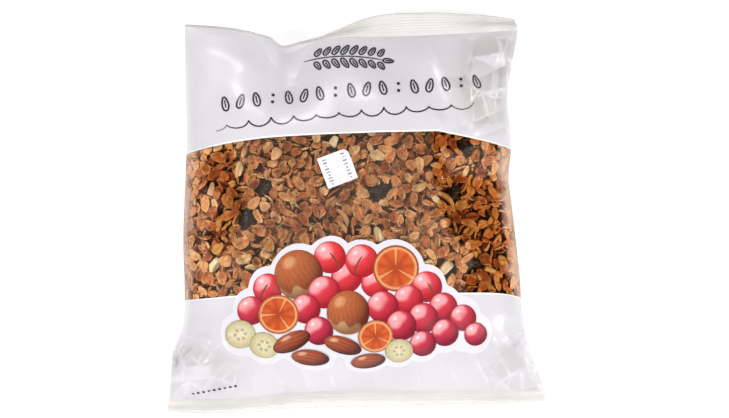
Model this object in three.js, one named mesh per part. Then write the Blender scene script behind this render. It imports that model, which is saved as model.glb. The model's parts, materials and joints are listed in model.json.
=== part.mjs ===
// A sealed pillow bag of granola lying on its back, with a small paper label on its window.
// Millimetres. +X is to the right of the bag's front, +Y points at its top seal, +Z is up.
import * as THREE from 'three';

// ---- Driving dimensions -----------------------------------------------------------------

// Heights above the surface that the bag lies on.
const SIDE_HEIGHT = 17;
const FRONT_RISE = 27;
const BACK_DROP = 21;

// How far from each seal the bag has swollen to its full thickness.
const FOOT_TAPER = 47;
const HEAD_TAPER = 64;

// Share of a taper over which the sides come down from the seal's height to the bag's.
const SIDE_BLEND = 0.8;

// The lower this exponent, the blunter the bag's ends.
const END_BLUNTNESS = 0.9;

// The seals are fins of film, crimped flat.
const FOOT_FIN = 10;
const HEAD_FIN = 14;
const FIN_THICKNESS = 1;
const FIN_WAVE = 0.35;
const FIN_WAVES_ACROSS = 2.9;

// Share of its droop that a fin has where it leaves the seal line.
const DROOP_AT_ROOT = 0.4;

// Superellipse exponents of the cross-section: the higher, the flatter the face.
const FRONT_FLATNESS = 2.6;
const BACK_FLATNESS = 3.4;

// Share of a face's height below which folds and the film's thickness fade to nothing.
const RIM = 0.5;

// Share of a fold's height that is left at a seal, where the bag is thin.
const FOLD_AT_SEAL = 0.35;

// Granola pressed against the film, as low bumps of a flake's size in the clear band.
const FLAKE_LENGTH = 11.5;
const FLAKE_WIDTH = 8.6;
const FLAKE_RELIEF = 0.45;
const BAND_FOOT_Y = -50;
const BAND_HEAD_Y = 42;
const BAND_SOFTNESS = 6;

// The paper label.
const LABEL_WIDTH = 17.6;
const LABEL_HEIGHT = 17.6;
const LABEL_X = -9.9;
const LABEL_Y = 21.8;
const LABEL_TURN = THREE.MathUtils.degToRad(21);
const LABEL_CORNER_CUT = 0.12;
const LABEL_THICKNESS = 0.4;
const LABEL_GAP = 0.35;

// ---- Outline, as [along, value] stations joined by smooth curves -----------------------

// X of the bag's sides along Y.
const LEFT_SIDE = [
  [-116, -110.2], [-109, -107.9], [-93, -106.1], [-82, -104.6], [-65, -98.6],
  [-51, -97.4], [-16, -98.7], [40, -97.5], [88, -99.2], [116, -99.4],
];
const RIGHT_SIDE = [
  [-110, 110.2], [-97, 106.6], [-82, 100.5], [-65, 95.7], [-30, 92.8],
  [4, 89.2], [19, 87.6], [39, 89.3], [67, 87.6], [88, 91.1], [104, 94.5], [116, 94.5],
];

// Lines where the two faces of film meet at each seal: Y and height, across the bag.
const FOOT_LINE_Y = [[-1, -109], [-0.6, -107.3], [-0.36, -104.4], [0, -103], [1, -103.2]];
const FOOT_LINE_Z = [[-1, 8.6], [-0.6, 8], [0, 9], [0.6, 8.5], [1, 9.2]];
const HEAD_LINE_Y = [
  [-1, 107.3], [-0.7, 104.4], [-0.5, 100.5], [-0.42, 95.5], [-0.3, 97.6], [-0.05, 101.2],
  [0.3, 102.1], [0.65, 103.8], [1, 106.7],
];
const HEAD_LINE_Z = [[-1, 19], [-0.75, 20], [-0.42, 15.6], [-0.2, 17], [0.1, 17], [0.6, 16], [1, 13.6]];

// How far each fin hangs down from level, in degrees, across the bag.
const FOOT_FIN_DROOP = [[-1, 44], [-0.5, 22], [0, 21], [0.5, 27], [1, 48]];
const HEAD_FIN_DROOP = [[-1, 84], [-0.35, 82], [-0.1, 57], [0.25, 7], [0.6, 18], [1, 48]];

// Folds in the front face. A soft fold is a rounded furrow or bulge, a sharp one a crease.
const FOLDS = [
  { name: 'head valley', from: [-41, 96], to: [-36, 72], width: 13, height: -6, sharp: false },
  { name: 'head left bulge', from: [-80, 97], to: [-62, 84], width: 13, height: 2.5, sharp: false },
  { name: 'head right crease', from: [66, 74], to: [90, 86], width: 7, height: -2.4, sharp: true },
  { name: 'shoulder crease', from: [60, 46], to: [88, 60], width: 8, height: -2.2, sharp: true },
  { name: 'shoulder ridge', from: [62, 92], to: [66, 46], width: 8, height: 2.2, sharp: true },
  { name: 'band fold', from: [47, 48], to: [47, 18], width: 6, height: 1.4, sharp: true },
  { name: 'left ear ridge', from: [-107, -108], to: [-88, -88], width: 9, height: 4.5, sharp: true },
  { name: 'left ear furrow', from: [-104, -92], to: [-92, -78], width: 7, height: -2.6, sharp: true },
  { name: 'right ear ridge', from: [107, -104], to: [89, -78], width: 9, height: 4.5, sharp: true },
  { name: 'right ear furrow', from: [101, -84], to: [88, -66], width: 7, height: -2.6, sharp: true },
  { name: 'foot pleat', from: [-40, -104], to: [-48, -84], width: 6, height: -2.6, sharp: true },
  { name: 'foot ridge', from: [-26, -104], to: [-30, -88], width: 6, height: 1.8, sharp: true },
];

// ---- Mesh density --------------------------------------------------------------------

const FACE_STEPS = 36;
const BODY_ROWS = 56;
const FIN_ROWS = 3;
const SECTION_SAMPLES = 720;
const END_CROWDING = 0.45;
const LABEL_STEPS = 6;

// ---- Curves --------------------------------------------------------------------------

/** Smooth curve through [at, value] stations, held level past both ends. */
function through(stations, at) {
  const last = stations.length - 1;
  if (at <= stations[0][0]) return stations[0][1];
  if (at >= stations[last][0]) return stations[last][1];
  let i = 0;
  while (at > stations[i + 1][0]) i += 1;
  const slope = (j) => {
    const before = stations[Math.max(j - 1, 0)];
    const after = stations[Math.min(j + 1, last)];
    return (after[1] - before[1]) / (after[0] - before[0]);
  };
  const span = stations[i + 1][0] - stations[i][0];
  const t = (at - stations[i][0]) / span;
  const t2 = t * t;
  const t3 = t2 * t;
  return (2 * t3 - 3 * t2 + 1) * stations[i][1] + (t3 - 2 * t2 + t) * span * slope(i)
    + (3 * t2 - 2 * t3) * stations[i + 1][1] + (t3 - t2) * span * slope(i + 1);
}

/** How full the bag is at a distance from a seal: 0 at the seal, 1 past the taper. */
function swell(distance, taper) {
  const t = THREE.MathUtils.clamp(distance / taper, 0, 1);
  return Math.sin(0.5 * Math.PI * t) ** END_BLUNTNESS;
}

/** Height of a superellipse's face, 0 at its sides and 1 at its middle. */
function faceHeight(across, flatness) {
  return Math.max(0, 1 - Math.abs(across) ** flatness) ** (1 / flatness);
}

/** 0 at the bag's sides, where its faces meet, and 1 a little way in from them. */
function rimWeight(face) {
  return Math.min(1, face / RIM);
}

/** Stops across the bag from -1 to 1, evenly spaced along the front face's curve. */
function stopsAcross() {
  const halfWidth = 0.5 * (through(RIGHT_SIDE, 0) - through(LEFT_SIDE, 0));
  const fine = [];
  let length = 0;
  let before = null;
  for (let i = 0; i <= SECTION_SAMPLES; i += 1) {
    const across = -Math.cos((Math.PI * i) / SECTION_SAMPLES);
    const at = [across * halfWidth, FRONT_RISE * faceHeight(across, FRONT_FLATNESS)];
    if (before) length += Math.hypot(at[0] - before[0], at[1] - before[1]);
    fine.push([length, across]);
    before = at;
  }
  const stops = [];
  let i = 0;
  for (let k = 0; k <= FACE_STEPS; k += 1) {
    const want = (length * k) / FACE_STEPS;
    while (i < SECTION_SAMPLES && fine[i][0] < want) i += 1;
    stops.push(fine[i][1]);
  }
  stops[0] = -1;
  stops[FACE_STEPS] = 1;
  return stops;
}

// ---- The film's faces ----------------------------------------------------------------

/** Distance from a point to a fold's line. */
function distanceToFold(fold, x, y) {
  const along = [fold.to[0] - fold.from[0], fold.to[1] - fold.from[1]];
  const offset = [x - fold.from[0], y - fold.from[1]];
  const length2 = along[0] ** 2 + along[1] ** 2;
  const t = THREE.MathUtils.clamp((offset[0] * along[0] + offset[1] * along[1]) / length2, 0, 1);
  return Math.hypot(offset[0] - t * along[0], offset[1] - t * along[1]);
}

/** What all folds together add to the front face's height. */
function foldHeight(x, y) {
  let height = 0;
  for (const fold of FOLDS) {
    const near = distanceToFold(fold, x, y) / fold.width;
    if (fold.sharp) height += fold.height * Math.max(0, 1 - near) ** 1.5;
    else height += fold.height * Math.exp(-near * near);
  }
  return height;
}

/** 1 inside the clear band, 0 outside it and under the label. */
function bandWeight(x, y) {
  const foot = THREE.MathUtils.smoothstep(y, BAND_FOOT_Y - BAND_SOFTNESS, BAND_FOOT_Y + BAND_SOFTNESS);
  const head = THREE.MathUtils.smoothstep(y, BAND_HEAD_Y - BAND_SOFTNESS, BAND_HEAD_Y + BAND_SOFTNESS);
  const fromLabel = Math.hypot(x - LABEL_X, y - LABEL_Y);
  return foot * (1 - head) * THREE.MathUtils.smoothstep(fromLabel, LABEL_WIDTH, 1.4 * LABEL_WIDTH);
}

/** Low bumps where flakes press on the film. */
function flakeHeight(x, y) {
  const turn = 2 * Math.PI;
  const a = Math.sin((turn * x) / FLAKE_LENGTH + 1.7 * Math.sin((turn * y) / (2.1 * FLAKE_LENGTH)));
  const b = Math.sin((turn * y) / FLAKE_WIDTH + 1.3 * Math.sin((turn * x) / (2.7 * FLAKE_WIDTH)));
  return FLAKE_RELIEF * a * b * bandWeight(x, y);
}

/** Place across, along and above for a stop across the bag and a share of the way up it. */
function bodyFrame(across, share) {
  const footY = through(FOOT_LINE_Y, across);
  const headY = through(HEAD_LINE_Y, across);
  const y = THREE.MathUtils.lerp(footY, headY, share);
  const x = THREE.MathUtils.lerp(through(LEFT_SIDE, y), through(RIGHT_SIDE, y), 0.5 * (across + 1));
  const fromFoot = y - footY;
  const fromHead = headY - y;
  const full = swell(fromFoot, FOOT_TAPER) * swell(fromHead, HEAD_TAPER);
  const lift = THREE.MathUtils.smoothstep(fromFoot, 0, SIDE_BLEND * FOOT_TAPER);
  const drop = THREE.MathUtils.smoothstep(fromHead, 0, SIDE_BLEND * HEAD_TAPER);
  const nearFoot = THREE.MathUtils.lerp(through(FOOT_LINE_Z, across), SIDE_HEIGHT, lift);
  const side = THREE.MathUtils.lerp(through(HEAD_LINE_Z, across), nearFoot, drop);
  return { x, y, side, full };
}

/** A point of the front face. */
function frontPoint(across, share) {
  const { x, y, side, full } = bodyFrame(across, share);
  const face = faceHeight(across, FRONT_FLATNESS);
  const edge = rimWeight(face);
  const bulge = FRONT_RISE * full * face + 0.5 * FIN_THICKNESS * edge;
  const folds = foldHeight(x, y) * edge * Math.min(1, FOLD_AT_SEAL + full);
  const detail = folds + flakeHeight(x, y) * face;
  return new THREE.Vector3(x, y, side + Math.max(0.5 * FIN_THICKNESS * edge, bulge + detail));
}

/** A point of the back face, pressed flat where it meets the surface below. */
function backPoint(across, share) {
  const { x, y, side, full } = bodyFrame(across, share);
  const face = faceHeight(across, BACK_FLATNESS);
  const bulge = BACK_DROP * full * face + 0.5 * FIN_THICKNESS * rimWeight(face);
  return new THREE.Vector3(x, y, Math.max(0, side - bulge));
}

/** A point of a fin: `reach` beyond the seal line, on the face with `sign` 1 or -1. */
function finPoint(fin, across, reach, sign) {
  const rootY = through(fin.lineY, across);
  const out = reach / fin.length;
  const droop = THREE.MathUtils.degToRad(through(fin.droop, across)) * Math.min(1, DROOP_AT_ROOT + out);
  const y = rootY + fin.outward * reach * Math.cos(droop);
  const ripple = FIN_WAVE * Math.sin(Math.PI * FIN_WAVES_ACROSS * (across + 1)) * out;
  const z = through(fin.lineZ, across) - reach * Math.sin(droop) + ripple;
  const half = 0.5 * FIN_THICKNESS * rimWeight(faceHeight(across, FRONT_FLATNESS)) * sign;
  const x = THREE.MathUtils.lerp(through(LEFT_SIDE, y), through(RIGHT_SIDE, y), 0.5 * (across + 1));
  return new THREE.Vector3(
    x,
    y + fin.outward * half * Math.sin(droop),
    Math.max(z, 0.5 * FIN_THICKNESS) + half * Math.cos(droop),
  );
}

const FOOT = { outward: -1, length: FOOT_FIN, lineY: FOOT_LINE_Y, lineZ: FOOT_LINE_Z, droop: FOOT_FIN_DROOP };
const HEAD = { outward: 1, length: HEAD_FIN, lineY: HEAD_LINE_Y, lineZ: HEAD_LINE_Z, droop: HEAD_FIN_DROOP };

// ---- Closed meshes --------------------------------------------------------------------

/** One closed ring: the front face from left to right, then the back face right to left. */
function ring(stops, front, back) {
  const points = stops.map(front);
  for (let k = FACE_STEPS - 1; k >= 1; k -= 1) points.push(back(stops[k]));
  return points;
}

/** All rings of the bag from the foot fin's edge to the head fin's edge. */
function bagRings() {
  const stops = stopsAcross();
  const rings = [];
  const finRing = (fin, reach) => {
    const face = (sign) => (across) => finPoint(fin, across, reach, sign);
    return ring(stops, face(1), face(-1));
  };
  for (let j = FIN_ROWS; j >= 1; j -= 1) rings.push(finRing(FOOT, (FOOT_FIN * j) / FIN_ROWS));
  for (let j = 0; j <= BODY_ROWS; j += 1) {
    const even = j / BODY_ROWS;
    const crowded = 0.5 - 0.5 * Math.cos(Math.PI * even);
    const share = THREE.MathUtils.lerp(even, crowded, END_CROWDING);
    rings.push(ring(stops, (a) => frontPoint(a, share), (a) => backPoint(a, share)));
  }
  for (let j = 1; j <= FIN_ROWS; j += 1) rings.push(finRing(HEAD, (HEAD_FIN * j) / FIN_ROWS));
  return rings;
}

/** A closed geometry from points and triangles given by index. */
function closedGeometry(points, triangles) {
  const geometry = new THREE.BufferGeometry();
  geometry.setAttribute('position', new THREE.Float32BufferAttribute(points.flatMap((p) => p.toArray()), 3));
  geometry.setIndex(triangles);
  geometry.computeVertexNormals();
  return geometry;
}

/** Skin over the rings, shut at both ends by strips between the front and back faces. */
function bagGeometry() {
  const rings = bagRings();
  const around = 2 * FACE_STEPS;
  const triangles = [];
  const quad = (a, b, c, d) => triangles.push(a, b, c, a, c, d);
  for (let j = 0; j + 1 < rings.length; j += 1) {
    for (let k = 0; k < around; k += 1) {
      const next = (k + 1) % around;
      quad(j * around + k, j * around + next, (j + 1) * around + next, (j + 1) * around + k);
    }
  }
  const cap = (base, flip) => {
    for (let k = 0; k < FACE_STEPS; k += 1) {
      const a = base + k;
      const b = base + k + 1;
      const c = base + ((around - k - 1) % around);
      const d = base + ((around - k) % around);
      const corners = [a, b, c, d].filter((v, i, all) => all.indexOf(v) === i);
      if (flip) corners.reverse();
      for (let i = 1; i + 1 < corners.length; i += 1) triangles.push(corners[0], corners[i], corners[i + 1]);
    }
  };
  cap(0, true);
  cap((rings.length - 1) * around, false);
  return closedGeometry(rings.flat(), triangles);
}

/** Height of the front face over a place on it, without flake bumps or folds. */
function restingHeight(x, y) {
  const left = through(LEFT_SIDE, y);
  const right = through(RIGHT_SIDE, y);
  const across = (2 * (x - left)) / (right - left) - 1;
  const footY = through(FOOT_LINE_Y, across);
  const share = (y - footY) / (through(HEAD_LINE_Y, across) - footY);
  const { side, full } = bodyFrame(across, share);
  return side + FRONT_RISE * full * faceHeight(across, FRONT_FLATNESS) + 0.5 * FIN_THICKNESS;
}

/** The label: a thin sheet that follows the bag, its top corner rounded off. */
function labelGeometry() {
  const points = [];
  const triangles = [];
  const row = LABEL_STEPS + 1;
  const cos = Math.cos(LABEL_TURN);
  const sin = Math.sin(LABEL_TURN);
  for (const lift of [LABEL_GAP, LABEL_GAP + LABEL_THICKNESS]) {
    for (let j = 0; j <= LABEL_STEPS; j += 1) {
      for (let i = 0; i <= LABEL_STEPS; i += 1) {
        const u = i / LABEL_STEPS - 0.5;
        const v = j / LABEL_STEPS - 0.5;
        const pinch = 1 - LABEL_CORNER_CUT * Math.max(0, u + v) ** 2;
        const x = LABEL_X + LABEL_WIDTH * pinch * (u * cos - v * sin);
        const y = LABEL_Y + LABEL_HEIGHT * pinch * (u * sin + v * cos);
        points.push(new THREE.Vector3(x, y, restingHeight(x, y) + lift));
      }
    }
  }
  const top = row * row;
  const quad = (a, b, c, d) => triangles.push(a, b, c, a, c, d);
  for (let j = 0; j < LABEL_STEPS; j += 1) {
    for (let i = 0; i < LABEL_STEPS; i += 1) {
      const a = j * row + i;
      quad(top + a, top + a + 1, top + a + 1 + row, top + a + row);
      quad(a, a + row, a + 1 + row, a + 1);
    }
  }
  for (let i = 0; i < LABEL_STEPS; i += 1) {
    const far = LABEL_STEPS * row + i;
    quad(i, i + 1, top + i + 1, top + i);
    quad(far + 1, far, top + far, top + far + 1);
    const left = i * row;
    const right = left + LABEL_STEPS;
    quad(left + row, left, top + left, top + left + row);
    quad(right, right + row, top + right + row, top + right);
  }
  return closedGeometry(points, triangles);
}

// ---- The part ------------------------------------------------------------------------

const FILM = new THREE.MeshStandardMaterial({ color: 0xe4e1e6, roughness: 0.28, metalness: 0 });
const PAPER = new THREE.MeshStandardMaterial({ color: 0xf8f7fa, roughness: 0.7, metalness: 0 });

/** A named mesh. */
function mesh(name, geometry, material) {
  const made = new THREE.Mesh(geometry, material);
  made.name = name;
  return made;
}

const bag = mesh('bag', bagGeometry(), FILM);
const label = mesh('price_label', labelGeometry(), PAPER);

// The origin is on the resting surface, under the middle of the bag's outline.
bag.geometry.computeBoundingBox();
const middle = bag.geometry.boundingBox.getCenter(new THREE.Vector3());
for (const piece of [bag, label]) piece.geometry.translate(-middle.x, -middle.y, 0);

const granolaBag = new THREE.Group();
granolaBag.add(bag, label);

export default granolaBag;
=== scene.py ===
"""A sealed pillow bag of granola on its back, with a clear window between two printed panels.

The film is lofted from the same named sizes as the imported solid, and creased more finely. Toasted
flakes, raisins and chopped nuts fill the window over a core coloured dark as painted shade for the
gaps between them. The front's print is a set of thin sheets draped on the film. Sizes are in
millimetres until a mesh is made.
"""

from __future__ import annotations

import json
import logging
import math
from dataclasses import dataclass, field
from enum import Enum
from typing import Callable, Sequence

import bpy
import numpy as np
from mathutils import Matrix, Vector
from mathutils.bvhtree import BVHTree

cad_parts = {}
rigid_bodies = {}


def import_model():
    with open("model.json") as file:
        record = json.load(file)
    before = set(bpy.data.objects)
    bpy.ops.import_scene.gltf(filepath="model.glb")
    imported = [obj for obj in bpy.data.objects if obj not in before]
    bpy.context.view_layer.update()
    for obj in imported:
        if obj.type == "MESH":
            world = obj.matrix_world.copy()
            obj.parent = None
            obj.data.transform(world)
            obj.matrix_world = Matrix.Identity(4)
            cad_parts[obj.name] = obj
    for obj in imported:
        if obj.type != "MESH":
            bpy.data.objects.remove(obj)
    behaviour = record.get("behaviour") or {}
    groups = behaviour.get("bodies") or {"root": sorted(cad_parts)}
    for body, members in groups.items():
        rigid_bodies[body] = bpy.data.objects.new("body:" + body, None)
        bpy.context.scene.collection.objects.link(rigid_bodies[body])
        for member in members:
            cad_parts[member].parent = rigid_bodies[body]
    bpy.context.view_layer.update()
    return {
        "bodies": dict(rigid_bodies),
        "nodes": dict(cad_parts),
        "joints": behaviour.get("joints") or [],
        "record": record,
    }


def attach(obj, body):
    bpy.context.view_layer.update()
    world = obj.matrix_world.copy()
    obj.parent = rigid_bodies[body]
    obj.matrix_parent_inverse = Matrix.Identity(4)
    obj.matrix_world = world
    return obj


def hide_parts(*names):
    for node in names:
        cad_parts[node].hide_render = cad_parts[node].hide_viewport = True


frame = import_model()

log = logging.getLogger("granola_bag")

MM = 0.001
SEED = 4127
CELLS_REACH = 180.0
FACET_LAYERS = (0, 50)
CREASE_WIDTH = 0.5
TURN_STOPS = 400
HALF_WIDTH = 90

Piece = bpy.types.Object
Material = bpy.types.Material
Socket = bpy.types.NodeSocket
Array = np.ndarray
Stations = tuple[tuple[float, float], ...]
Colour = tuple[float, float, float, float]
Outline = tuple[tuple[float, float], ...]


# ---- Curves and noise ----


def through(stations: Stations, at: Array | float) -> Array:
    """Smooth curve through stations, held level past both ends.

    Args:
        stations: Pairs of a place and the value there, in rising order of place.
        at: Places to read the curve at.

    Returns:
        The curve's values.
    """
    table = np.asarray(stations, float)
    places = np.asarray(at, float)
    last = len(table) - 1
    before = np.maximum(np.arange(last + 1) - 1, 0)
    after = np.minimum(np.arange(last + 1) + 1, last)
    slopes = (table[after, 1] - table[before, 1]) / (table[after, 0] - table[before, 0])
    i = np.clip(np.searchsorted(table[:, 0], places) - 1, 0, last - 1)
    span = table[i + 1, 0] - table[i, 0]
    t = np.clip((places - table[i, 0]) / span, 0.0, 1.0)
    t2 = t * t
    t3 = t2 * t
    return (
        (2 * t3 - 3 * t2 + 1) * table[i, 1]
        + (t3 - 2 * t2 + t) * span * slopes[i]
        + (3 * t2 - 2 * t3) * table[i + 1, 1]
        + (t3 - t2) * span * slopes[i + 1]
    )


def smooth_step(value: Array, low: float, high: float) -> Array:
    """0 below low, 1 above high and smooth between."""
    t = np.clip((value - low) / (high - low), 0.0, 1.0)
    return t * t * (3 - 2 * t)


def ripples(x: Array, y: Array, longest: float, shortest: float, seed: int, count: int = 14) -> Array:
    """Smooth random relief of about unit height, as a sum of waves in all directions.

    Args:
        x: Places across, in millimetres.
        y: Places along.
        longest: The longest wavelength.
        shortest: The shortest wavelength.
        seed: Seed of the random draw.
        count: How many waves are added.

    Returns:
        Relief at each place.
    """
    rng = np.random.default_rng(seed)
    relief = np.zeros(np.broadcast(x, y).shape)
    for _ in range(count):
        heading = rng.uniform(0, 2 * math.pi)
        wavelength = math.exp(rng.uniform(math.log(shortest), math.log(longest)))
        phase = rng.uniform(0, 2 * math.pi)
        relief += np.sin(2 * math.pi * (x * math.cos(heading) + y * math.sin(heading)) / wavelength + phase)
    return relief / math.sqrt(count)


@dataclass(frozen=True)
class Waves:
    """Smooth unevenness of a surface, in millimetres.

    Attributes:
        height: Its height.
        longest: Its longest wavelength.
        shortest: Its shortest.
        draw: Which random draw it is, counted from the seed.
    """

    height: float
    longest: float
    shortest: float
    draw: int

    def at(self, x: Array, y: Array) -> Array:
        """Its relief at each place."""
        return self.height * ripples(x, y, self.longest, self.shortest, SEED + self.draw)


SLACK_WAVES = Waves(0.22, 46, 18, 2)
FRONT_WAVES = Waves(0.5, 60, 26, 3)
PRESSED_FLAKES = Waves(0.16, 13, 6, 4)
BACK_WRINKLES = Waves(0.35, 30, 12, 5)
FIN_WAVES = Waves(0.25, 34, 11, 6)
CORE_LUMPS = Waves(0.9, 12, 5, 8)
VEIL_WANDER = Waves(1.2, 14, 5, 12)
SIDE_WANDER = Waves(1.4, 40, 8, 13)


def split_cells(x: Array, y: Array, spacing: float, seed: int) -> tuple[Array, Array, Array]:
    """Splits the plane into cells round scattered middles.

    Args:
        x: Places across, in millimetres.
        y: Places along.
        spacing: Mean width of a cell.
        seed: Seed of the random draw.

    Returns:
        Squares of the distances to the nearest and the next middle, in cell widths, and the cell's
        random tone.
    """
    rng = np.random.default_rng(seed)
    steps = int(2 * CELLS_REACH / spacing)
    jitter = rng.uniform(0.05, 0.95, (steps, steps, 2))
    tones = rng.uniform(0, 1, (steps, steps))
    column, row = (x + CELLS_REACH) / spacing, (y + CELLS_REACH) / spacing
    nearest = np.full(np.shape(x), np.inf)
    following = np.full(np.shape(x), np.inf)
    tone = np.zeros(np.shape(x))
    for up in range(-2, 3):
        for right in range(-2, 3):
            i = np.clip(np.floor(column).astype(int) + right, 0, steps - 1)
            j = np.clip(np.floor(row).astype(int) + up, 0, steps - 1)
            distance = (column - i - jitter[j, i, 0]) ** 2 + (row - j - jitter[j, i, 1]) ** 2
            closer = distance < nearest
            following = np.where(closer, nearest, np.minimum(following, distance))
            tone = np.where(closer, tones[j, i], tone)
            nearest = np.where(closer, distance, nearest)
    return nearest, following, tone


def facets(x: Array, y: Array, spacing: float, seed: int) -> Array:
    """Crumpled relief of about half a unit each way: flat facets that meet in sharp folds.

    Args:
        x: Places across, in millimetres.
        y: Places along.
        spacing: Mean width of a facet.
        seed: Seed of the random draw.

    Returns:
        Relief at each place.
    """
    up, down = (split_cells(x, y, spacing, seed + layer)[0] for layer in FACET_LAYERS)
    return up - down


def patch(x: Array, y: Array, outline: Outline, edge: float) -> Array:
    """Which places are inside a closed outline.

    Args:
        x: Places across.
        y: Places along.
        outline: The outline's corners in order.
        edge: Half the width of its soft edge.

    Returns:
        1 inside, 0 outside and between at the edge.
    """
    place = np.stack([x, y], 1)
    nearest = np.full(len(x), np.inf)
    inside = np.zeros(len(x), bool)
    for (x0, y0), (x1, y1) in zip(outline, outline[1:] + outline[:1]):
        run = np.array([x1 - x0, y1 - y0])
        share = np.clip(((place - (x0, y0)) @ run) / (run @ run), 0, 1)
        nearest = np.minimum(nearest, np.hypot(*(place - (x0, y0) - share[:, None] * run).T))
        crossing = x0 + (y - y0) / ((y1 - y0) or 1e-9) * (x1 - x0)
        inside ^= ((y0 > y) != (y1 > y)) & (x < crossing)
    return smooth_step(np.where(inside, nearest, -nearest), -edge, edge)


def turned(x: Array, y: Array, angle: float) -> tuple[Array, Array]:
    """Places turned about the origin by an angle in radians."""
    cos, sin = math.cos(angle), math.sin(angle)
    return x * cos - y * sin, x * sin + y * cos


def srgb(red: float, green: float, blue: float) -> Colour:
    """A colour as seen on a screen, 0 to 255 each, as linear light with full cover."""
    linear = [
        c / 12.92 if c <= 0.04045 else ((c + 0.055) / 1.055) ** 2.4
        for c in (red / 255, green / 255, blue / 255)
    ]
    return (linear[0], linear[1], linear[2], 1.0)


# ---- The bag's shape ----


@dataclass(frozen=True)
class Fold:
    """One crease or rounded furrow in the front face, in millimetres.

    Attributes:
        start: One end of its line, across and along.
        end: The other end.
        width: How far it reaches to each side.
        height: Its height, negative for a furrow.
        sharp: True for a crease, False for a rounded furrow or bulge.
    """

    start: tuple[float, float]
    end: tuple[float, float]
    width: float
    height: float
    sharp: bool = True

    def _place(self, x: Array, y: Array) -> tuple[Array, Array]:
        """Share of the way along the fold's line, and the distance from the line.

        Args:
            x: Places across, in millimetres.
            y: Places along.

        Returns:
            One number of each a place.
        """
        along = np.subtract(self.end, self.start)
        offset_x = x - self.start[0]
        offset_y = y - self.start[1]
        t = np.clip((offset_x * along[0] + offset_y * along[1]) / along.dot(along), 0, 1)
        return t, np.hypot(offset_x - t * along[0], offset_y - t * along[1])

    def lift(self, x: Array, y: Array) -> Array:
        """What the fold adds to the front face's height.

        Args:
            x: Places across, in millimetres.
            y: Places along.

        Returns:
            One height a place.
        """
        near = self._place(x, y)[1] / self.width
        if self.sharp:
            return self.height * np.maximum(0, 1 - near) ** 1.5
        return self.height * np.exp(-near * near)

    # Painted highlight: a lighter line along each sharp crease stands in for its glint.
    def glint(self, x: Array, y: Array) -> Array:
        """Painted glint along a sharp crease: 1 on its line, 0 a little way off."""
        t, off = self._place(x, y)
        inner = smooth_step(0.5 - np.abs(t - 0.5), 0.0, 0.3)
        return self.sharp * np.exp(-((off / CREASE_WIDTH) ** 2)) * inner


@dataclass(frozen=True)
class Crumple:
    """An area of crumpled film, in millimetres: flat facets that meet in sharp folds.

    Attributes:
        middle: Its middle, across and along.
        reach: How far it fades out, across and along.
        spacing: Mean width of a facet.
        height: Height of its relief.
        seed: Seed of its random draw.
        facet_shade: How much painted shade its facets may take, darker than the rest of the film.
    """

    middle: tuple[float, float]
    reach: tuple[float, float]
    spacing: float
    height: float
    seed: int
    facet_shade: float

    def _strength(self, x: Array, y: Array) -> Array:
        """1 at the middle, fading to 0."""
        across, along = (x - self.middle[0]) / self.reach[0], (y - self.middle[1]) / self.reach[1]
        return np.exp(-(across**2 + along**2))

    def lift(self, x: Array, y: Array) -> Array:
        """What the crumpling adds to the front face's height."""
        return self.height * facets(x, y, self.spacing, self.seed) * self._strength(x, y)

    def looks(self, x: Array, y: Array) -> tuple[Array, Array]:
        """The painted glint along its folds and the painted shade of its facets, 0 to 1 each.

        Args:
            x: Places across, in millimetres.
            y: Places along.

        Returns:
            One number of each a place.
        """
        # Painted highlight along the folds between facets, and painted shade on the facets, each by a random
        # tone.
        glint, tone = np.zeros(np.shape(x)), np.zeros(np.shape(x))
        for layer in FACET_LAYERS:
            nearest, following, cell_tone = split_cells(x, y, self.spacing, self.seed + layer)
            off = 0.5 * self.spacing * (following - nearest)
            glint = np.maximum(glint, np.exp(-((off / CREASE_WIDTH) ** 2)))
            tone += 0.5 * cell_tone
        strength = self._strength(x, y)
        facet_shade = self.facet_shade * tone * smooth_step(strength, 0.05, 0.6)
        return glint * smooth_step(strength, 0.1, 0.7), facet_shade


@dataclass(frozen=True)
class Fin:
    """A seal: two films crimped flat beyond the line where the bag's faces meet.

    Attributes:
        outward: 1 towards the head, -1 towards the foot.
        length: How far it reaches.
        line_y: Where its line lies along the bag, over the way across.
        line_z: How high its line lies.
        droop: How far it hangs down from level, in degrees.
    """

    outward: float
    length: float
    line_y: Stations
    line_z: Stations
    droop: Stations


FOOT_FIN = Fin(
    outward=-1.0,
    length=10.0,
    line_y=((-1, -109), (-0.6, -107.3), (-0.36, -104.4), (0, -103), (1, -103.2)),
    line_z=((-1, 8.6), (-0.6, 8), (0, 9), (0.6, 8.5), (1, 9.2)),
    droop=((-1, 44), (-0.5, 22), (0, 21), (0.5, 27), (1, 48)),
)
HEAD_FIN = Fin(
    outward=1.0,
    length=14.0,
    line_y=(
        (-1, 107.3), (-0.7, 104.4), (-0.5, 100.5), (-0.42, 95.5), (-0.3, 97.6), (-0.05, 101.2),
        (0.3, 102.1), (0.65, 103.8), (1, 106.7),
    ),
    line_z=((-1, 19), (-0.75, 20), (-0.42, 15.6), (-0.2, 17), (0.1, 17), (0.6, 16), (1, 13.6)),
    droop=((-1, 84), (-0.35, 82), (-0.1, 57), (0.25, 7), (0.6, 18), (1, 48)),
)

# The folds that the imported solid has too.
MAIN_FOLDS = (
    Fold((-41, 96), (-36, 72), 13, -6, sharp=False),
    Fold((-80, 97), (-62, 84), 13, 2.5, sharp=False),
    Fold((66, 74), (90, 86), 7, -2.4),
    Fold((60, 46), (88, 60), 8, -2.2),
    Fold((62, 92), (66, 46), 8, 2.2),
    Fold((47, 48), (47, 18), 6, 1.4),
    Fold((-107, -108), (-88, -88), 9, 4.5),
    Fold((-104, -92), (-92, -78), 7, -2.6),
    Fold((107, -104), (89, -78), 9, 4.5),
    Fold((101, -84), (88, -66), 7, -2.6),
    Fold((-40, -104), (-48, -84), 6, -2.6),
    Fold((-26, -104), (-30, -88), 6, 1.8),
)

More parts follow.
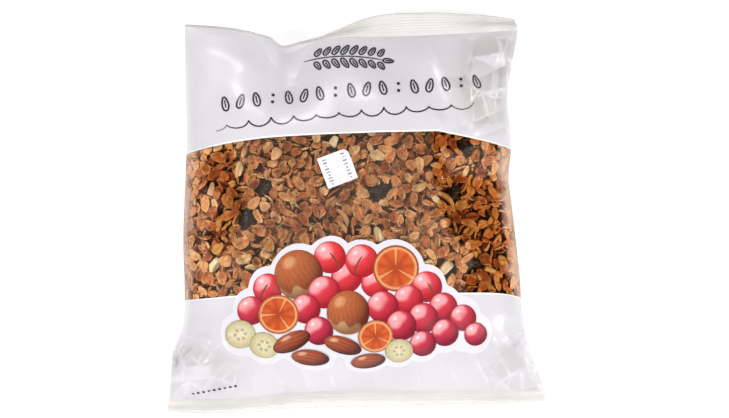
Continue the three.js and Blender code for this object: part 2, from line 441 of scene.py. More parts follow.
# Finer creases and crumpled areas of the film alone.
FINE_FOLDS = (
    Fold((-95, 100), (-52, 92), 5, -0.9, sharp=False),
    Fold((-58, 100), (-44, 80), 4, 0.8),
    Fold((-28, 98), (-34, 76), 4, -0.7),
    Fold((10, 101), (16, 84), 5, -0.6, sharp=False),
    Fold((40, 101), (52, 70), 5, 0.9),
    Fold((70, 100), (58, 66), 4, -1.1),
    Fold((84, 98), (74, 60), 4, 0.9),
    Fold((88, 70), (64, 62), 3.5, 0.9),
    Fold((86, 48), (66, 40), 4, -0.9),
    Fold((-96, -96), (-70, -70), 4, -0.9),
    Fold((-90, -104), (-74, -86), 4, 1.0),
    Fold((-72, -106), (-66, -90), 4, -0.9),
    Fold((-58, -106), (-58, -92), 3.5, 0.8),
    Fold((-12, -103), (-14, -92), 4, -0.7),
    Fold((12, -102), (10, -90), 4, 0.6),
    Fold((38, -102), (34, -88), 4, -0.7),
    Fold((60, -102), (52, -86), 4, 0.8),
    Fold((78, -102), (66, -82), 4, -1.0),
    Fold((92, -102), (76, -74), 4, 0.9),
    Fold((-81.4, -8.2), (-76.5, 2.2), 2.2, 0.9),
    Fold((-83, -14), (-79, -8), 2, -0.7),
    Fold((-86, 22), (-83, 34), 2.4, 0.7),
    Fold((70, 26), (80, 31), 2.4, 0.8),
)
# The last number of each is how much painted shade its facets take.
CRUMPLES = (
    Crumple((80, 74), (22, 30), 19, 11.0, SEED, 1.0),
    Crumple((-94, -90), (26, 16), 14, 7.0, SEED + 1, 0.6),
    Crumple((96, -88), (20, 18), 13, 6.0, SEED + 1, 0.35),
)


@dataclass(frozen=True)
class BagShape:
    """The bag's outline and cross-sections, in millimetres."""

    side_height: float = 17.0
    front_rise: float = 27.0
    back_drop: float = 21.0
    foot_taper: float = 47.0
    head_taper: float = 64.0
    side_blend: float = 0.8
    end_bluntness: float = 0.9
    front_flatness: float = 2.6
    back_flatness: float = 3.4
    rim: float = 0.5
    fold_at_seal: float = 0.35
    fin_thickness: float = 0.6
    rib_height: float = 0.14
    rib_pitch: float = 1.7
    left_side: Stations = (
        (-116, -110.2), (-109, -107.9), (-93, -106.1), (-82, -104.6), (-65, -98.6),
        (-51, -97.4), (-16, -98.7), (40, -97.5), (88, -99.2), (116, -99.4),
    )
    right_side: Stations = (
        (-110, 110.2), (-97, 106.6), (-82, 100.5), (-65, 95.7), (-30, 92.8), (4, 89.2), (19, 87.6),
        (39, 89.3), (67, 87.6), (88, 91.1), (104, 94.5), (116, 94.5),
    )
    foot_edge: Stations = (
        (-1, -50.8), (-0.9, -49.9), (-0.6, -47.6), (0, -47), (0.76, -46.3), (0.9, -47.2), (1, -49.4),
    )
    head_edge: Stations = (
        (-1, 31.5), (-0.74, 36), (-0.46, 39.1), (0, 41.2), (0.5, 42.6), (0.56, 42.2), (1, 34.6),
    )

    def sides(self, y: Array) -> tuple[Array, Array]:
        """X of the left and right side at each place along the bag."""
        return through(self.left_side, y), through(self.right_side, y)

    def body(self, across: Array, y: Array) -> tuple[Array, Array, Array]:
        """Where the middle of the film tube lies.

        Args:
            across: Way across the bag, from -1 at its left side to 1 at its right.
            y: Place along the bag.

        Returns:
            X, the height where the faces meet, and how full the bag is from 0 to 1.
        """
        left, right = self.sides(y)
        x = left + (right - left) * 0.5 * (across + 1)
        from_foot = y - through(FOOT_FIN.line_y, across)
        from_head = through(HEAD_FIN.line_y, across) - y
        full = self._swell(from_foot, self.foot_taper) * self._swell(from_head, self.head_taper)
        lift = smooth_step(from_foot, 0, self.side_blend * self.foot_taper)
        drop = smooth_step(from_head, 0, self.side_blend * self.head_taper)
        foot_z = through(FOOT_FIN.line_z, across)
        head_z = through(HEAD_FIN.line_z, across)
        near_foot = foot_z + (self.side_height - foot_z) * lift
        return x, head_z + (near_foot - head_z) * drop, full

    def _swell(self, distance: Array, taper: float) -> Array:
        """0 at a seal, 1 past the taper."""
        return np.sin(0.5 * math.pi * np.clip(distance / taper, 0, 1)) ** self.end_bluntness

    @staticmethod
    def _face(across: Array, flatness: float) -> Array:
        """Height of a superellipse's face, 0 at its sides and 1 at its middle."""
        return np.maximum(0, 1 - np.abs(across) ** flatness) ** (1 / flatness)

    def _in_window(self, across: Array, y: Array, softness: float = 5.0) -> Array:
        """1 well inside the clear band, 0 well outside it."""
        foot = smooth_step(y - through(self.foot_edge, across), -softness, softness)
        head = smooth_step(through(self.head_edge, across) - y, -softness, softness)
        return foot * head

    def creases(self, across: Array, x: Array, y: Array) -> Array:
        """Height that folds, crumples and flakes pressing on the film add to the front.

        Args:
            across: Way across, -1 to 1.
            x: Place across in millimetres.
            y: Place along the bag.

        Returns:
            One height a place.
        """
        relief = sum(fold.lift(x, y) for fold in MAIN_FOLDS + FINE_FOLDS)
        window = self._in_window(across, y)
        slack = 1 - window
        relief = relief + sum(crumple.lift(x, y) for crumple in CRUMPLES)
        relief = relief + SLACK_WAVES.at(x, y) * slack
        relief = relief + FRONT_WAVES.at(x, y)
        return relief + PRESSED_FLAKES.at(x, y) * window

    def front(self, across: Array, y: Array) -> Array:
        """Points of the front face, one row each.

        Args:
            across: Way across, -1 to 1.
            y: Place along the bag.

        Returns:
            The points.
        """
        x, side, full = self.body(across, y)
        face = self._face(across, self.front_flatness)
        edge = np.minimum(1, face / self.rim)
        skin = 0.5 * self.fin_thickness * edge
        detail = self.creases(across, x, y) * edge * np.minimum(1, self.fold_at_seal + full)
        height = side + np.maximum(skin, self.front_rise * full * face + skin + detail)
        return np.stack(np.broadcast_arrays(x, y, height), -1)

    def back(self, across: Array, y: Array) -> Array:
        """Points of the back face, flat where it lies on the surface below.

        Args:
            across: Way across, -1 to 1.
            y: Place along the bag.

        Returns:
            The points.
        """
        x, side, full = self.body(across, y)
        face = self._face(across, self.back_flatness)
        skin = 0.5 * self.fin_thickness * np.minimum(1, face / self.rim)
        hang = side - self.back_drop * full * face - skin
        wrinkle = BACK_WRINKLES.at(x, y) * np.minimum(1, np.abs(hang) / 3)
        return np.stack(np.broadcast_arrays(x, y, np.maximum(0, hang + wrinkle * (hang > 0.5))), -1)

    def stops(self, count: int) -> Array:
        """Ways across, from -1 to 1, evenly spaced along the front face's curve.

        Args:
            count: How many spaces.

        Returns:
            One more than the spaces.
        """
        left, right = self.sides(np.zeros(1))
        fine = -np.cos(np.linspace(0, math.pi, 2001))
        height = self.front_rise * self._face(fine, self.front_flatness)
        steps = np.hypot(np.diff(fine) * 0.5 * (right - left), np.diff(height))
        length = np.concatenate([[0], np.cumsum(steps)])
        return np.interp(np.linspace(0, length[-1], count + 1), length, fine)

    def around(self, turn: Array, y: Array) -> Array:
        """Points of the film: turn runs 0 to 1 across the front and 1 to 2 back across the back.

        Args:
            turn: Turn round the bag.
            y: Place along the bag.

        Returns:
            The points.
        """
        table = self.stops(TURN_STOPS)
        places = np.linspace(0, 1, len(table))
        across = np.where(turn <= 1, np.interp(turn, places, table), np.interp(2 - turn, places, table))
        return np.where((turn <= 1)[..., None], self.front(across, y), self.back(across, y))

    def fin_point(self, fin: Fin, across: Array, reach: Array, side: float) -> Array:
        """Points of a fin on its upper (side 1) or lower (side -1) film, ribbed by the crimp.

        Args:
            fin: The seal.
            across: Way across, -1 to 1.
            reach: How far out from its line.
            side: Which film, 1 or -1.

        Returns:
            The points.
        """
        out = reach / fin.length
        droop = np.radians(through(fin.droop, across)) * np.minimum(1, 0.4 + out)
        y = through(fin.line_y, across) + fin.outward * reach * np.cos(droop)
        rib = self.rib_height * np.sin(2 * math.pi * reach / self.rib_pitch) * smooth_step(out, 0.1, 0.25)
        wave = 0.35 * np.sin(math.pi * 2.9 * (across + 1))
        wave = wave + FIN_WAVES.at(HALF_WIDTH * across, reach)
        z = through(fin.line_z, across) - reach * np.sin(droop) + (rib + wave * out)
        thinning = np.minimum(1, self._face(across, self.front_flatness) / self.rim)
        half = 0.5 * self.fin_thickness * thinning * side
        left, right = self.sides(y)
        x = left + (right - left) * 0.5 * (across + 1)
        z = np.maximum(z, 0.5 * self.fin_thickness) + half * np.cos(droop)
        return np.stack(np.broadcast_arrays(x, y + fin.outward * half * np.sin(droop), z), -1)


# ---- Making meshes ----


def nothing_selected() -> None:
    """Leaves object mode with nothing selected, so that operators act on new pieces alone."""
    if bpy.context.object and bpy.context.object.mode != "OBJECT":
        bpy.ops.object.mode_set(mode="OBJECT")
    bpy.ops.object.select_all(action="DESELECT")


def select_only(piece: Piece) -> None:
    """Makes one piece the selected and active one."""
    nothing_selected()
    piece.select_set(True)
    bpy.context.view_layer.objects.active = piece


def edit_all(piece: Piece, operator: Callable[..., object], **settings: object) -> None:
    """Runs one mesh operator on all of a piece in edit mode.

    Args:
        piece: The piece.
        operator: The operator.
        settings: Its settings.
    """
    select_only(piece)
    bpy.ops.object.mode_set(mode="EDIT")
    bpy.ops.mesh.select_all(action="SELECT")
    operator(**settings)
    bpy.ops.object.mode_set(mode="OBJECT")


def vertex_rows(piece: Piece, what: str = "co") -> Array:
    """One row a vertex: its place in metres, or its "normal"."""
    flat = np.empty(3 * len(piece.data.vertices))
    piece.data.vertices.foreach_get(what, flat)
    return flat.reshape(-1, 3)


def paint_vertices(piece: Piece, name: str, values: Array) -> None:
    """Writes one number a vertex, for a material to read."""
    piece.data.attributes.new(name, "FLOAT", "POINT").data.foreach_set("value", values)


def grid_sheet(name: str, columns: int, rows: int, place: Callable[[Array, Array], Array]) -> Piece:
    """A grid primitive whose vertices are set on a surface; its UV map runs 0 to 1 each way.

    Args:
        name: The piece's name.
        columns: Faces across.
        rows: Faces along.
        place: Gives points in millimetres from arrays of u and v, both 0 to 1.

    Returns:
        The piece.
    """
    nothing_selected()
    bpy.ops.mesh.primitive_grid_add(x_subdivisions=columns, y_subdivisions=rows, size=1.0)
    piece = bpy.context.object
    piece.name = name
    piece.data.name = name
    flat = vertex_rows(piece) + 0.5
    placed = place(np.round(flat[:, 0] * columns) / columns, np.round(flat[:, 1] * rows) / rows)
    piece.data.vertices.foreach_set("co", (placed * MM).ravel())
    piece.data.update()
    return piece


def weld(piece: Piece, within: float = 0.002) -> None:
    """Merges vertices that meet, as along a tube's seam."""
    edit_all(piece, bpy.ops.mesh.remove_doubles, threshold=within * MM)


def smooth(piece: Piece) -> None:
    """Shades a piece smooth."""
    select_only(piece)
    bpy.ops.object.shade_smooth()


def finish_piece(piece: Piece, material: Material, slot: str, *nodes: str) -> None:
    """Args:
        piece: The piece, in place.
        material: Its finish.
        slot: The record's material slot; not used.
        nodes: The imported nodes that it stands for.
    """
    piece.data.materials.clear()
    piece.data.materials.append(material)
    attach(piece, "root")
    if nodes:
        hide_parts(*nodes)
    log.info("%s: %d faces", piece.name, len(piece.data.polygons))


def mesh_from_arrays(name: str, points: Array, faces: Array) -> Piece:
    """A piece from points in millimetres and faces of equal length.

    Args:
        name: Its name.
        points: One row a point.
        faces: Numbers of points, one row a face.

    Returns:
        The piece.
    """
    mesh = bpy.data.meshes.new(name)
    corners = faces.shape[1]
    mesh.vertices.add(len(points))
    mesh.vertices.foreach_set("co", (points * MM).ravel())
    mesh.loops.add(faces.size)
    mesh.loops.foreach_set("vertex_index", faces.ravel())
    mesh.polygons.add(len(faces))
    mesh.polygons.foreach_set("loop_start", np.arange(0, faces.size, corners))
    mesh.update(calc_edges=True)
    mesh.validate()
    piece = bpy.data.objects.new(name, mesh)
    bpy.context.collection.objects.link(piece)
    return piece


# ---- Shading ----


class Shading:
    """A material's nodes, added one by one."""

    def __init__(self, name: str) -> None:
        """Starts an empty material."""
        self.material = bpy.data.materials.new(name)
        self.material.use_nodes = True
        self.nodes = self.material.node_tree.nodes
        self.links = self.material.node_tree.links
        self.nodes.clear()

    def add(self, kind: str, inputs: dict | None = None, **settings: object) -> bpy.types.Node:
        """Adds a node.

        Args:
            kind: The node's type.
            inputs: Socket names or numbers, each with a value or with the socket that feeds it.
            settings: The node's own settings.

        Returns:
            The node.
        """
        node = self.nodes.new(kind)
        for key, value in settings.items():
            setattr(node, key, value)
        for key, value in (inputs or {}).items():
            if isinstance(value, Socket):
                self.links.new(value, node.inputs[key])
            else:
                node.inputs[key].default_value = value
        return node

    def object_coords(self) -> Socket:
        """The piece's own coordinates, in metres."""
        return self.add("ShaderNodeTexCoord").outputs["Object"]

    def noise(self, scale: float, detail: float = 3.0, roughness: float = 0.55) -> Socket:
        """Noise over the piece's coordinates; scale is in cycles a metre."""
        inputs = {"Vector": self.object_coords(), "Scale": scale, "Detail": detail, "Roughness": roughness}
        return self.add("ShaderNodeTexNoise", inputs).outputs["Fac"]

    def ramp(self, factor: Socket, *stops: tuple[float, Colour]) -> Socket:
        """Colours blended along a factor.

        Args:
            factor: What they are blended along.
            stops: Each position with its colour.

        Returns:
            The colour.
        """
        node = self.add("ShaderNodeValToRGB", {"Fac": factor})
        elements = node.color_ramp.elements
        while len(elements) < len(stops):
            elements.new(0.5)
        for element, (position, colour) in zip(elements, stops):
            element.position = position
            element.color = colour
        return node.outputs["Color"]

    def span(self, value: Socket, low: float, high: float, start: float, end: float) -> Socket:
        """Maps start..end of a value onto low..high, held past both ends."""
        inputs = {"Value": value, "From Min": start, "From Max": end, "To Min": low, "To Max": high}
        return self.add("ShaderNodeMapRange", inputs).outputs["Result"]

    def math(self, operation: str, a: Socket | float, b: Socket | float = 0.0) -> Socket:
        """One sum."""
        return self.add("ShaderNodeMath", {0: a, 1: b}, operation=operation).outputs["Value"]

    def blend(
        self, factor: Socket | float, a: Socket | Colour, b: Socket | Colour, mode: str = "MIX"
    ) -> Socket:
        """Mixes two colours; the factor is the share of the second."""
        inputs = {0: factor, 6: a, 7: b}
        return self.add("ShaderNodeMix", inputs, data_type="RGBA", blend_type=mode).outputs[2]

    def bump(self, *layers: tuple[Socket, float]) -> Socket:
        """Relief from height fields, each with its height in millimetres.

        Args:
            layers: The height fields.

        Returns:
            The bent normal.
        """
        normal = None
        for height, millimetres in layers:
            inputs = {"Height": height, "Distance": millimetres * MM, "Strength": 1.0}
            if normal:
                inputs["Normal"] = normal
            normal = self.add("ShaderNodeBump", inputs).outputs["Normal"]
        return normal

    def attribute(self, name: str, output: str = "Fac") -> Socket:
        """A mesh attribute."""
        return self.add("ShaderNodeAttribute", attribute_name=name).outputs[output]

    def principled(self, inputs: dict) -> Material:
        """Joins a principled shader to the output."""
        return self.finish(self.add("ShaderNodeBsdfPrincipled", inputs).outputs["BSDF"])

    def finish(self, shader: Socket) -> Material:
        """Joins the shader to the output."""
        self.add("ShaderNodeOutputMaterial", {"Surface": shader})
        return self.material


FILM_GLOSS = {"Specular IOR Level": 0.3, "Coat Weight": 0.15, "Coat Roughness": 0.17}
HONEY_GLAZE = {"Specular IOR Level": 0.12, "Coat Weight": 0.1, "Coat Roughness": 0.2}


def film_relief(sh: Shading) -> Socket:
    """Slack and fine grain of printed film, as a normal."""
    return sh.bump((sh.noise(45, 2, 0.4), 0.3), (sh.noise(300, 3, 0.6), 0.04))


@dataclass(frozen=True)
class PrintedFilm:
    """Film printed all over in one pale colour, satin, with painted glints on creases and painted facet
    shade.
    """

    name: str
    pale: Colour
    deep: Colour
    facet_shade: Colour
    glint: Colour

    def make(self) -> Material:
        """Builds the material.

        Returns:
            The material.
        """
        sh = Shading(self.name)
        colour = sh.ramp(sh.noise(16, 2), (0.35, self.pale), (0.7, self.deep))
        # Painted shade on the crumpled facets.
        colour = sh.blend(sh.attribute("facet_shade"), colour, self.facet_shade)
        # Painted highlight along the creases, broken into patches.
        patchy = sh.span(sh.noise(90, 3), 0.1, 0.9, 0.4, 0.6)
        broken = sh.math("MULTIPLY", sh.attribute("glint"), patchy)
        colour = sh.blend(broken, colour, self.glint)
        rough = sh.span(sh.noise(60, 3), 0.36, 0.5, 0.35, 0.65)
        inputs = {"Base Color": colour, "Roughness": rough, "Normal": film_relief(sh)}
        return sh.principled({**inputs, **FILM_GLOSS})


@dataclass(frozen=True)
class ClearFilm:
    """Clear film: see-through, glossy by angle, with a milky veil: its own haze, and in the window partly
    painted reflection of the lights.

    Attributes:
        name: The material's name.
        haze_glare_low: Least share of milky scatter: haze, and in the window painted glare.
        haze_glare_high: Most.
        relief: Height of its fine creases in millimetres.
        tint: Colour of the milky haze and painted glare.
        clear: How a layer of it passes light.
        painted: True if the mesh says where the haze and painted glare lie.
        clings_at: The haze and painted glare where the film clings to what is in the bag.
        stands_at: The haze and painted glare where it stands off it.
        wet: How the film passes light where it clings.
        gloss_roughness: Roughness of its reflections.
        shine: Colour of its reflections.
        index: Index that sets how they grow towards a grazing angle.
    """

    name: str
    haze_glare_low: float
    haze_glare_high: float
    relief: float
    tint: Colour
    clear: Colour = (0.985, 0.985, 0.99, 1.0)
    painted: bool = False
    clings_at: float = 0.001
    stands_at: float = 0.03
    wet: Colour = (0.8, 0.67, 0.48, 1.0)
    gloss_roughness: float = 0.07
    shine: Colour = (0.45, 0.45, 0.45, 1.0)
    index: float = 1.27

    def make(self) -> Material:
        """Builds the material.

        Returns:
            The material.
        """
        sh = Shading(self.name)
        creases, grain = sh.noise(70, 3, 0.6), sh.noise(260, 3, 0.6)
        normal = sh.bump((creases, self.relief), (grain, 0.05 * self.relief))
        passes = self.clear
        if self.painted:
            # The mesh's numbers say how milky the film is: its haze, and painted reflection of the lights.
            haze_and_glare = sh.attribute("haze_and_glare")
            cling = sh.span(haze_and_glare, 1.0, 0.0, self.clings_at, 0.5 * self.stands_at)
            passes = sh.blend(cling, self.clear, self.wet)
        clear = sh.add("ShaderNodeBsdfTransparent", {"Color": passes})
        shine = {"Roughness": self.gloss_roughness, "Normal": normal, "Color": self.shine}
        gloss = sh.add("ShaderNodeBsdfGlossy", shine)
        angle = sh.add("ShaderNodeFresnel", {"IOR": self.index, "Normal": normal})
        lit = sh.add("ShaderNodeMixShader", {0: angle.outputs[0], 1: clear.outputs[0], 2: gloss.outputs[0]})
        # Milky haze of the film, and in the window painted reflection of the lights.
        milk_and_glare = sh.add("ShaderNodeBsdfDiffuse", {"Color": self.tint})
        share = sh.span(sh.noise(22, 2), self.haze_glare_low, self.haze_glare_high, 0.4, 0.62)
        if self.painted:
            share = sh.math("MULTIPLY", share, haze_and_glare)
        hazed_and_glared = sh.add("ShaderNodeMixShader", {0: share, 1: lit.outputs[0], 2: milk_and_glare.outputs[0]})
        return sh.finish(hazed_and_glared.outputs[0])


@dataclass(frozen=True)
class OatFinish:
    """A toasted, honey-glazed flake: painted shade along its middle crease, and a paler rim, floury and
    partly painted highlight.
    """

    name: str
    light: Colour
    mid: Colour
    dark: Colour
    ridges: float = 9.0

    def make(self) -> Material:
        """Builds the material.

        Returns:
            The material.
        """
        sh = Shading(self.name)
        tone = sh.attribute("tone")
        mottle = sh.noise(420, 4, 0.65)
        mixed = sh.math("ADD", sh.math("MULTIPLY", tone, 0.4), sh.math("MULTIPLY", mottle, 0.7))
        body = sh.ramp(mixed, (0.18, self.dark), (0.5, self.mid), (0.82, self.light))
        uv = sh.add("ShaderNodeUVMap", uv_map="flake").outputs["UV"]
        parts = sh.add("ShaderNodeSeparateXYZ", {0: uv})
        off_middle = sh.math("ABSOLUTE", sh.math("SUBTRACT", parts.outputs["Y"], 0.5))
        # Painted shade: darker along the crease in the flake's middle.
        crease_shaded = sh.blend(sh.span(off_middle, 0.3, 0.0, 0.01, 0.09), body, self.dark)
        from_middle = sh.add("ShaderNodeVectorMath", {0: uv, 1: (0.5, 0.5, 0)}, operation="DISTANCE")
        ragged = sh.math("ADD", from_middle.outputs["Value"], sh.span(mottle, -0.09, 0.09, 0.3, 0.7))
        # A paler rim: partly floury edge, partly painted highlight where the rim catches the light.
        floury_highlit_rim = sh.blend(sh.span(ragged, 0.0, 0.7, 0.36, 0.5), crease_shaded, self.light)
        wander = sh.math("MULTIPLY", sh.noise(260, 2), 2.4)
        ridges = sh.math("SINE", sh.math("ADD", sh.math("MULTIPLY", parts.outputs["Y"], self.ridges), wander))
        normal = sh.bump((ridges, 0.1), (sh.noise(900, 3, 0.6), 0.16), (sh.noise(380, 2), 0.8))
        rough = sh.span(mottle, 0.35, 0.6, 0.3, 0.7)
        return sh.principled({"Base Color": floury_highlit_rim, "Roughness": rough, "Normal": normal, **HONEY_GLAZE})


@dataclass(frozen=True)
class MottledFinish:
    """A rough surface in two colours, for core, crumbs, nut, dried fruit and paper.

    Attributes:
        name: The material's name.
        dark: Colour of its hollows, partly painted shade.
        light: Colour of its high places, partly painted highlight.
        scale: How fine its patches are, in cycles a metre.
        relief: Height of its patches in millimetres.
        roughness: Its least and most roughness.
        coat: Strength of its thin glaze.
        toasted: Colour of a copy that is toasted right through, where copies differ.
        change: Where the patches turn from dark to light.
    """

    name: str
    dark: Colour
    light: Colour
    scale: float
    relief: float
    roughness: tuple[float, float]
    coat: float = 0.0
    toasted: Colour | None = None
    change: tuple[float, float] = (0.32, 0.68)

    def make(self) -> Material:
        """Builds the material.

        Returns:
            The material.
        """
        sh = Shading(self.name)
        patches = sh.noise(self.scale, 4, 0.6)
        # The colour follows the bump's patches: darker in hollows as painted shade, lighter on high places as
        # painted highlight, with the surface's own patchy colour.
        colour = sh.ramp(patches, (self.change[0], self.dark), (self.change[1], self.light))
        if self.toasted:
            colour = sh.blend(sh.attribute("tone"), colour, self.toasted)
        normal = sh.bump((patches, self.relief), (sh.noise(4 * self.scale, 3, 0.6), 0.3 * self.relief))
        rough = sh.span(patches, self.roughness[0], self.roughness[1], 0.3, 0.7)
        inputs = {"Base Color": colour, "Roughness": rough, "Normal": normal, "Specular IOR Level": 0.25}
        coat = {"Coat Weight": self.coat, "Coat Roughness": 0.25}
        return sh.principled({**inputs, **coat})


@dataclass(frozen=True)
class InkFinish:
    """Coloured print under satin film; its colours are painted on the mesh."""

    name: str
    grain: float
    depth: float
    strength: float = 0.78

    def make(self) -> Material:
        """Builds the material.

        Returns:
            The material.
        """
        sh = Shading(self.name)
        paint = sh.attribute("ink", "Color")
        low, high = self.strength * (1 - self.depth), self.strength * (1 + self.depth)
        speck = sh.span(sh.noise(self.grain, 4, 0.7), low, high, 0.3, 0.7)
        grey = sh.add("ShaderNodeCombineColor", {0: speck, 1: speck, 2: speck}).outputs[0]
        colour = sh.blend(1.0, paint, grey, "MULTIPLY")
        inputs = {"Base Color": colour, "Roughness": 0.43, "Normal": film_relief(sh)}
        return sh.principled({**inputs, **FILM_GLOSS})


# ---- The film ----


CLINGS_RIGHT = (
    (41.6, 52), (41.6, 33), (42.4, 14), (46.8, 9), (44.6, -2), (50, -9), (53, -14), (63, -21),
    (65, -31), (58, -40), (63, -50), (92, -50), (92, 52),
)
CLINGS_LOW = ((35, -27), (42, -31), (47, -37), (54, -44), (54, -50), (19, -50), (19, -27))
CLINGS_LEFT = (
    (-87, 30), (-67, 38), (-65, 19), (-60, 4), (-64, -11), (-73, -27), (-82, -27), (-84, -10),
    (-73, 4), (-82, 12), (-86, 20),
)
# Where the film stands off the flakes: a band of painted glare of the lights, with the film's haze.
STANDS_OFF_GLARE = (
    (42, 33), (50, 31), (58, 32), (67, 36), (75, 36), (83, 28), (86, 12), (77, 16), (68, 17.5),
    (62, 19), (54, 19), (51, 22), (47, 27),
)


@dataclass
class FilmBag:
    """The bag's film: foot seal, foot panel, clear window, head panel and head seal."""

    shape: BagShape = field(default_factory=BagShape)
    front_steps: int = 270
    back_steps: int = 135
    row_height: float = 0.8
    rib_rows: int = 34
    # The window's haze and painted reflection of the lights over its middle, and its haze at its folded
    # sides.
    middle_haze_and_glare: float = 0.036
    veil_side: float = 0.3
    patches: tuple[tuple[Outline, float, float], ...] = (
        (CLINGS_RIGHT, 0.6, 0.001),
        (CLINGS_LOW, 1.5, 0.001),
        (CLINGS_LEFT, 2.5, 0.004),
        (STANDS_OFF_GLARE, 0.6, 0.06),
    )

    def _lines(self, front: Stations, straight: bool) -> Callable[[Array, bool], Array]:
        """Where a row of the film lies along the bag, on its front or its back.

        Args:
            front: The line across the front.
            straight: True if the back's line runs straight from side to side.

        Returns:
            A function of the way across and whether it is the back.
        """

        def line(across: Array, back: bool) -> Array:
            """Y of the line at each way across."""
            if back and straight:
                ends = through(front, np.array([-1.0, 1.0]))
                return ends[0] + (ends[1] - ends[0]) * 0.5 * (across + 1)
            return through(front, across)

        return line

    def _panel(self, name: str, low: Callable, high: Callable, length: float) -> Piece:
        """A band of film between two lines, all round the bag.

        Args:
            name: The piece's name.
            low: Its line nearer the foot.
            high: Its line nearer the head.
            length: Its length along the bag, for the number of rows.

        Returns:
            The piece.
        """
        front_stops = self.shape.stops(self.front_steps)
        back_stops = self.shape.stops(self.back_steps)[::-1]
        across = np.concatenate([front_stops, back_stops[1:]])
        is_back = np.concatenate([np.zeros(len(front_stops), bool), np.ones(len(back_stops) - 1, bool)])
        columns = len(across) - 1

        def place(u: Array, v: Array) -> Array:
            """Points of the band: u runs round the bag, v from its low line to its high one."""
            k = np.round(u * columns).astype(int)
            way, behind = across[k], is_back[k]
            y = np.where(
                behind,
                low(way, True) + (high(way, True) - low(way, True)) * v,
                low(way, False) + (high(way, False) - low(way, False)) * v,
            )
            return np.where(behind[:, None], self.shape.back(way, y), self.shape.front(way, y))

        piece = grid_sheet(name, columns, round(length / self.row_height), place)
        weld(piece)
        smooth(piece)
        return piece

    def _seal(self, name: str, fin: Fin) -> Piece:
        """A crimped fin: its upper film out to the edge, then its lower film back.

        Args:
            name: The piece's name.
            fin: The seal.

        Returns:
            The piece.
        """
        stops = self.shape.stops(self.front_steps)

        def place(u: Array, v: Array) -> Array:
            """Points of the fin: u runs across, v out on its upper film and back on its lower."""
            across = stops[np.round(u * self.front_steps).astype(int)]
            upper = self.shape.fin_point(fin, across, fin.length * np.minimum(1, 2 * v), 1.0)
            lower = self.shape.fin_point(fin, across, fin.length * np.minimum(1, 2 - 2 * v), -1.0)
            return np.where((v <= 0.5)[:, None], upper, lower)

        piece = grid_sheet(name, self.front_steps, 2 * self.rib_rows, place)
        weld(piece)
        if fin.outward < 0:
            edit_all(piece, bpy.ops.mesh.flip_normals)
        smooth(piece)
        return piece

    def _paint_creases(self, piece: Piece) -> None:
        """Writes the painted glints along the front's creases and the painted shade on its crumpled facets.

        Args:
            piece: A printed panel.
        """
        x, y, _ = vertex_rows(piece).T / MM
        shown = vertex_rows(piece, "normal")[:, 2] > 0
        glint, facet_shade = np.zeros(len(x)), np.zeros(len(x))
        for crumple in CRUMPLES:
            more_glint, more_facet_shade = crumple.looks(x, y)
            glint, facet_shade = np.maximum(glint, more_glint), np.maximum(facet_shade, more_facet_shade)
        for fold in MAIN_FOLDS + FINE_FOLDS:
            glint = np.maximum(glint, fold.glint(x, y))
        for name, values in (("glint", glint), ("facet_shade", facet_shade)):
            paint_vertices(piece, name, values * shown)

    def _paint_haze_and_glare(self, piece: Piece) -> None:
        """Writes how milky the clear film is, haze and painted reflection of the lights: least where it
        clings, most at its folded sides.

        Args:
            piece: The window.
        """
        x, y, z = vertex_rows(piece).T / MM
        left, right = self.shape.sides(y)
        from_side = np.minimum(x - left, right - x)
        wander = VEIL_WANDER.at(x, y)
        haze_and_glare = np.full(len(x), self.middle_haze_and_glare)
        for outline, edge, milk_and_glare in self.patches:
            haze_and_glare += (milk_and_glare - haze_and_glare) * patch(x + wander, y + wander, outline, edge)
        side = 1 - smooth_step(from_side + SIDE_WANDER.at(x * 0, y), 3.0, 9.0)
        side = side * (0.25 + 0.75 * smooth_step(z, 13, 23))
        paint_vertices(piece, "haze_and_glare", haze_and_glare + self.veil_side * side)

    def build(self) -> list[Piece]:
        """Makes and dresses all of the film.

        Returns:
            The pieces that the front's print is draped on.
        """
        foot = self._lines(FOOT_FIN.line_y, False)
        head = self._lines(HEAD_FIN.line_y, False)
        foot_edge = self._lines(self.shape.foot_edge, True)
        head_edge = self._lines(self.shape.head_edge, True)
        # The third colour is the painted shade of crumpled facets, the fourth the painted glint along
        # creases.
        panel = PrintedFilm(
            "printed film", srgb(198, 195, 199), srgb(191, 188, 192), srgb(167, 157, 155), srgb(209, 206, 210)
        ).make()
        # The window's milky veil is partly painted reflection of the lights.
        window = ClearFilm("clear film", 0.6, 1.3, 0.12, srgb(242, 214, 191), painted=True).make()
        bright = (0.98, 0.975, 0.97, 1.0)
        crimp = ClearFilm("crimped film", 0.45, 0.6, 0.12, srgb(225, 222, 218), bright).make()
        foot_panel = self._panel("film_foot_panel", foot, foot_edge, 56)
        clear = self._panel("film_window", foot_edge, head_edge, 88)
        head_panel = self._panel("film_head_panel", head_edge, head, 62)
        for printed in (foot_panel, head_panel):
            self._paint_creases(printed)
            finish_piece(printed, panel, "film_printed", "bag")
        self._paint_haze_and_glare(clear)
        finish_piece(clear, window, "film_clear", "bag")
        for name, fin in (("film_foot_seal", FOOT_FIN), ("film_head_seal", HEAD_FIN)):
            finish_piece(self._seal(name, fin), crimp, "film_clear", "bag")
        return [foot_panel, clear, head_panel]


# ---- The granola ----


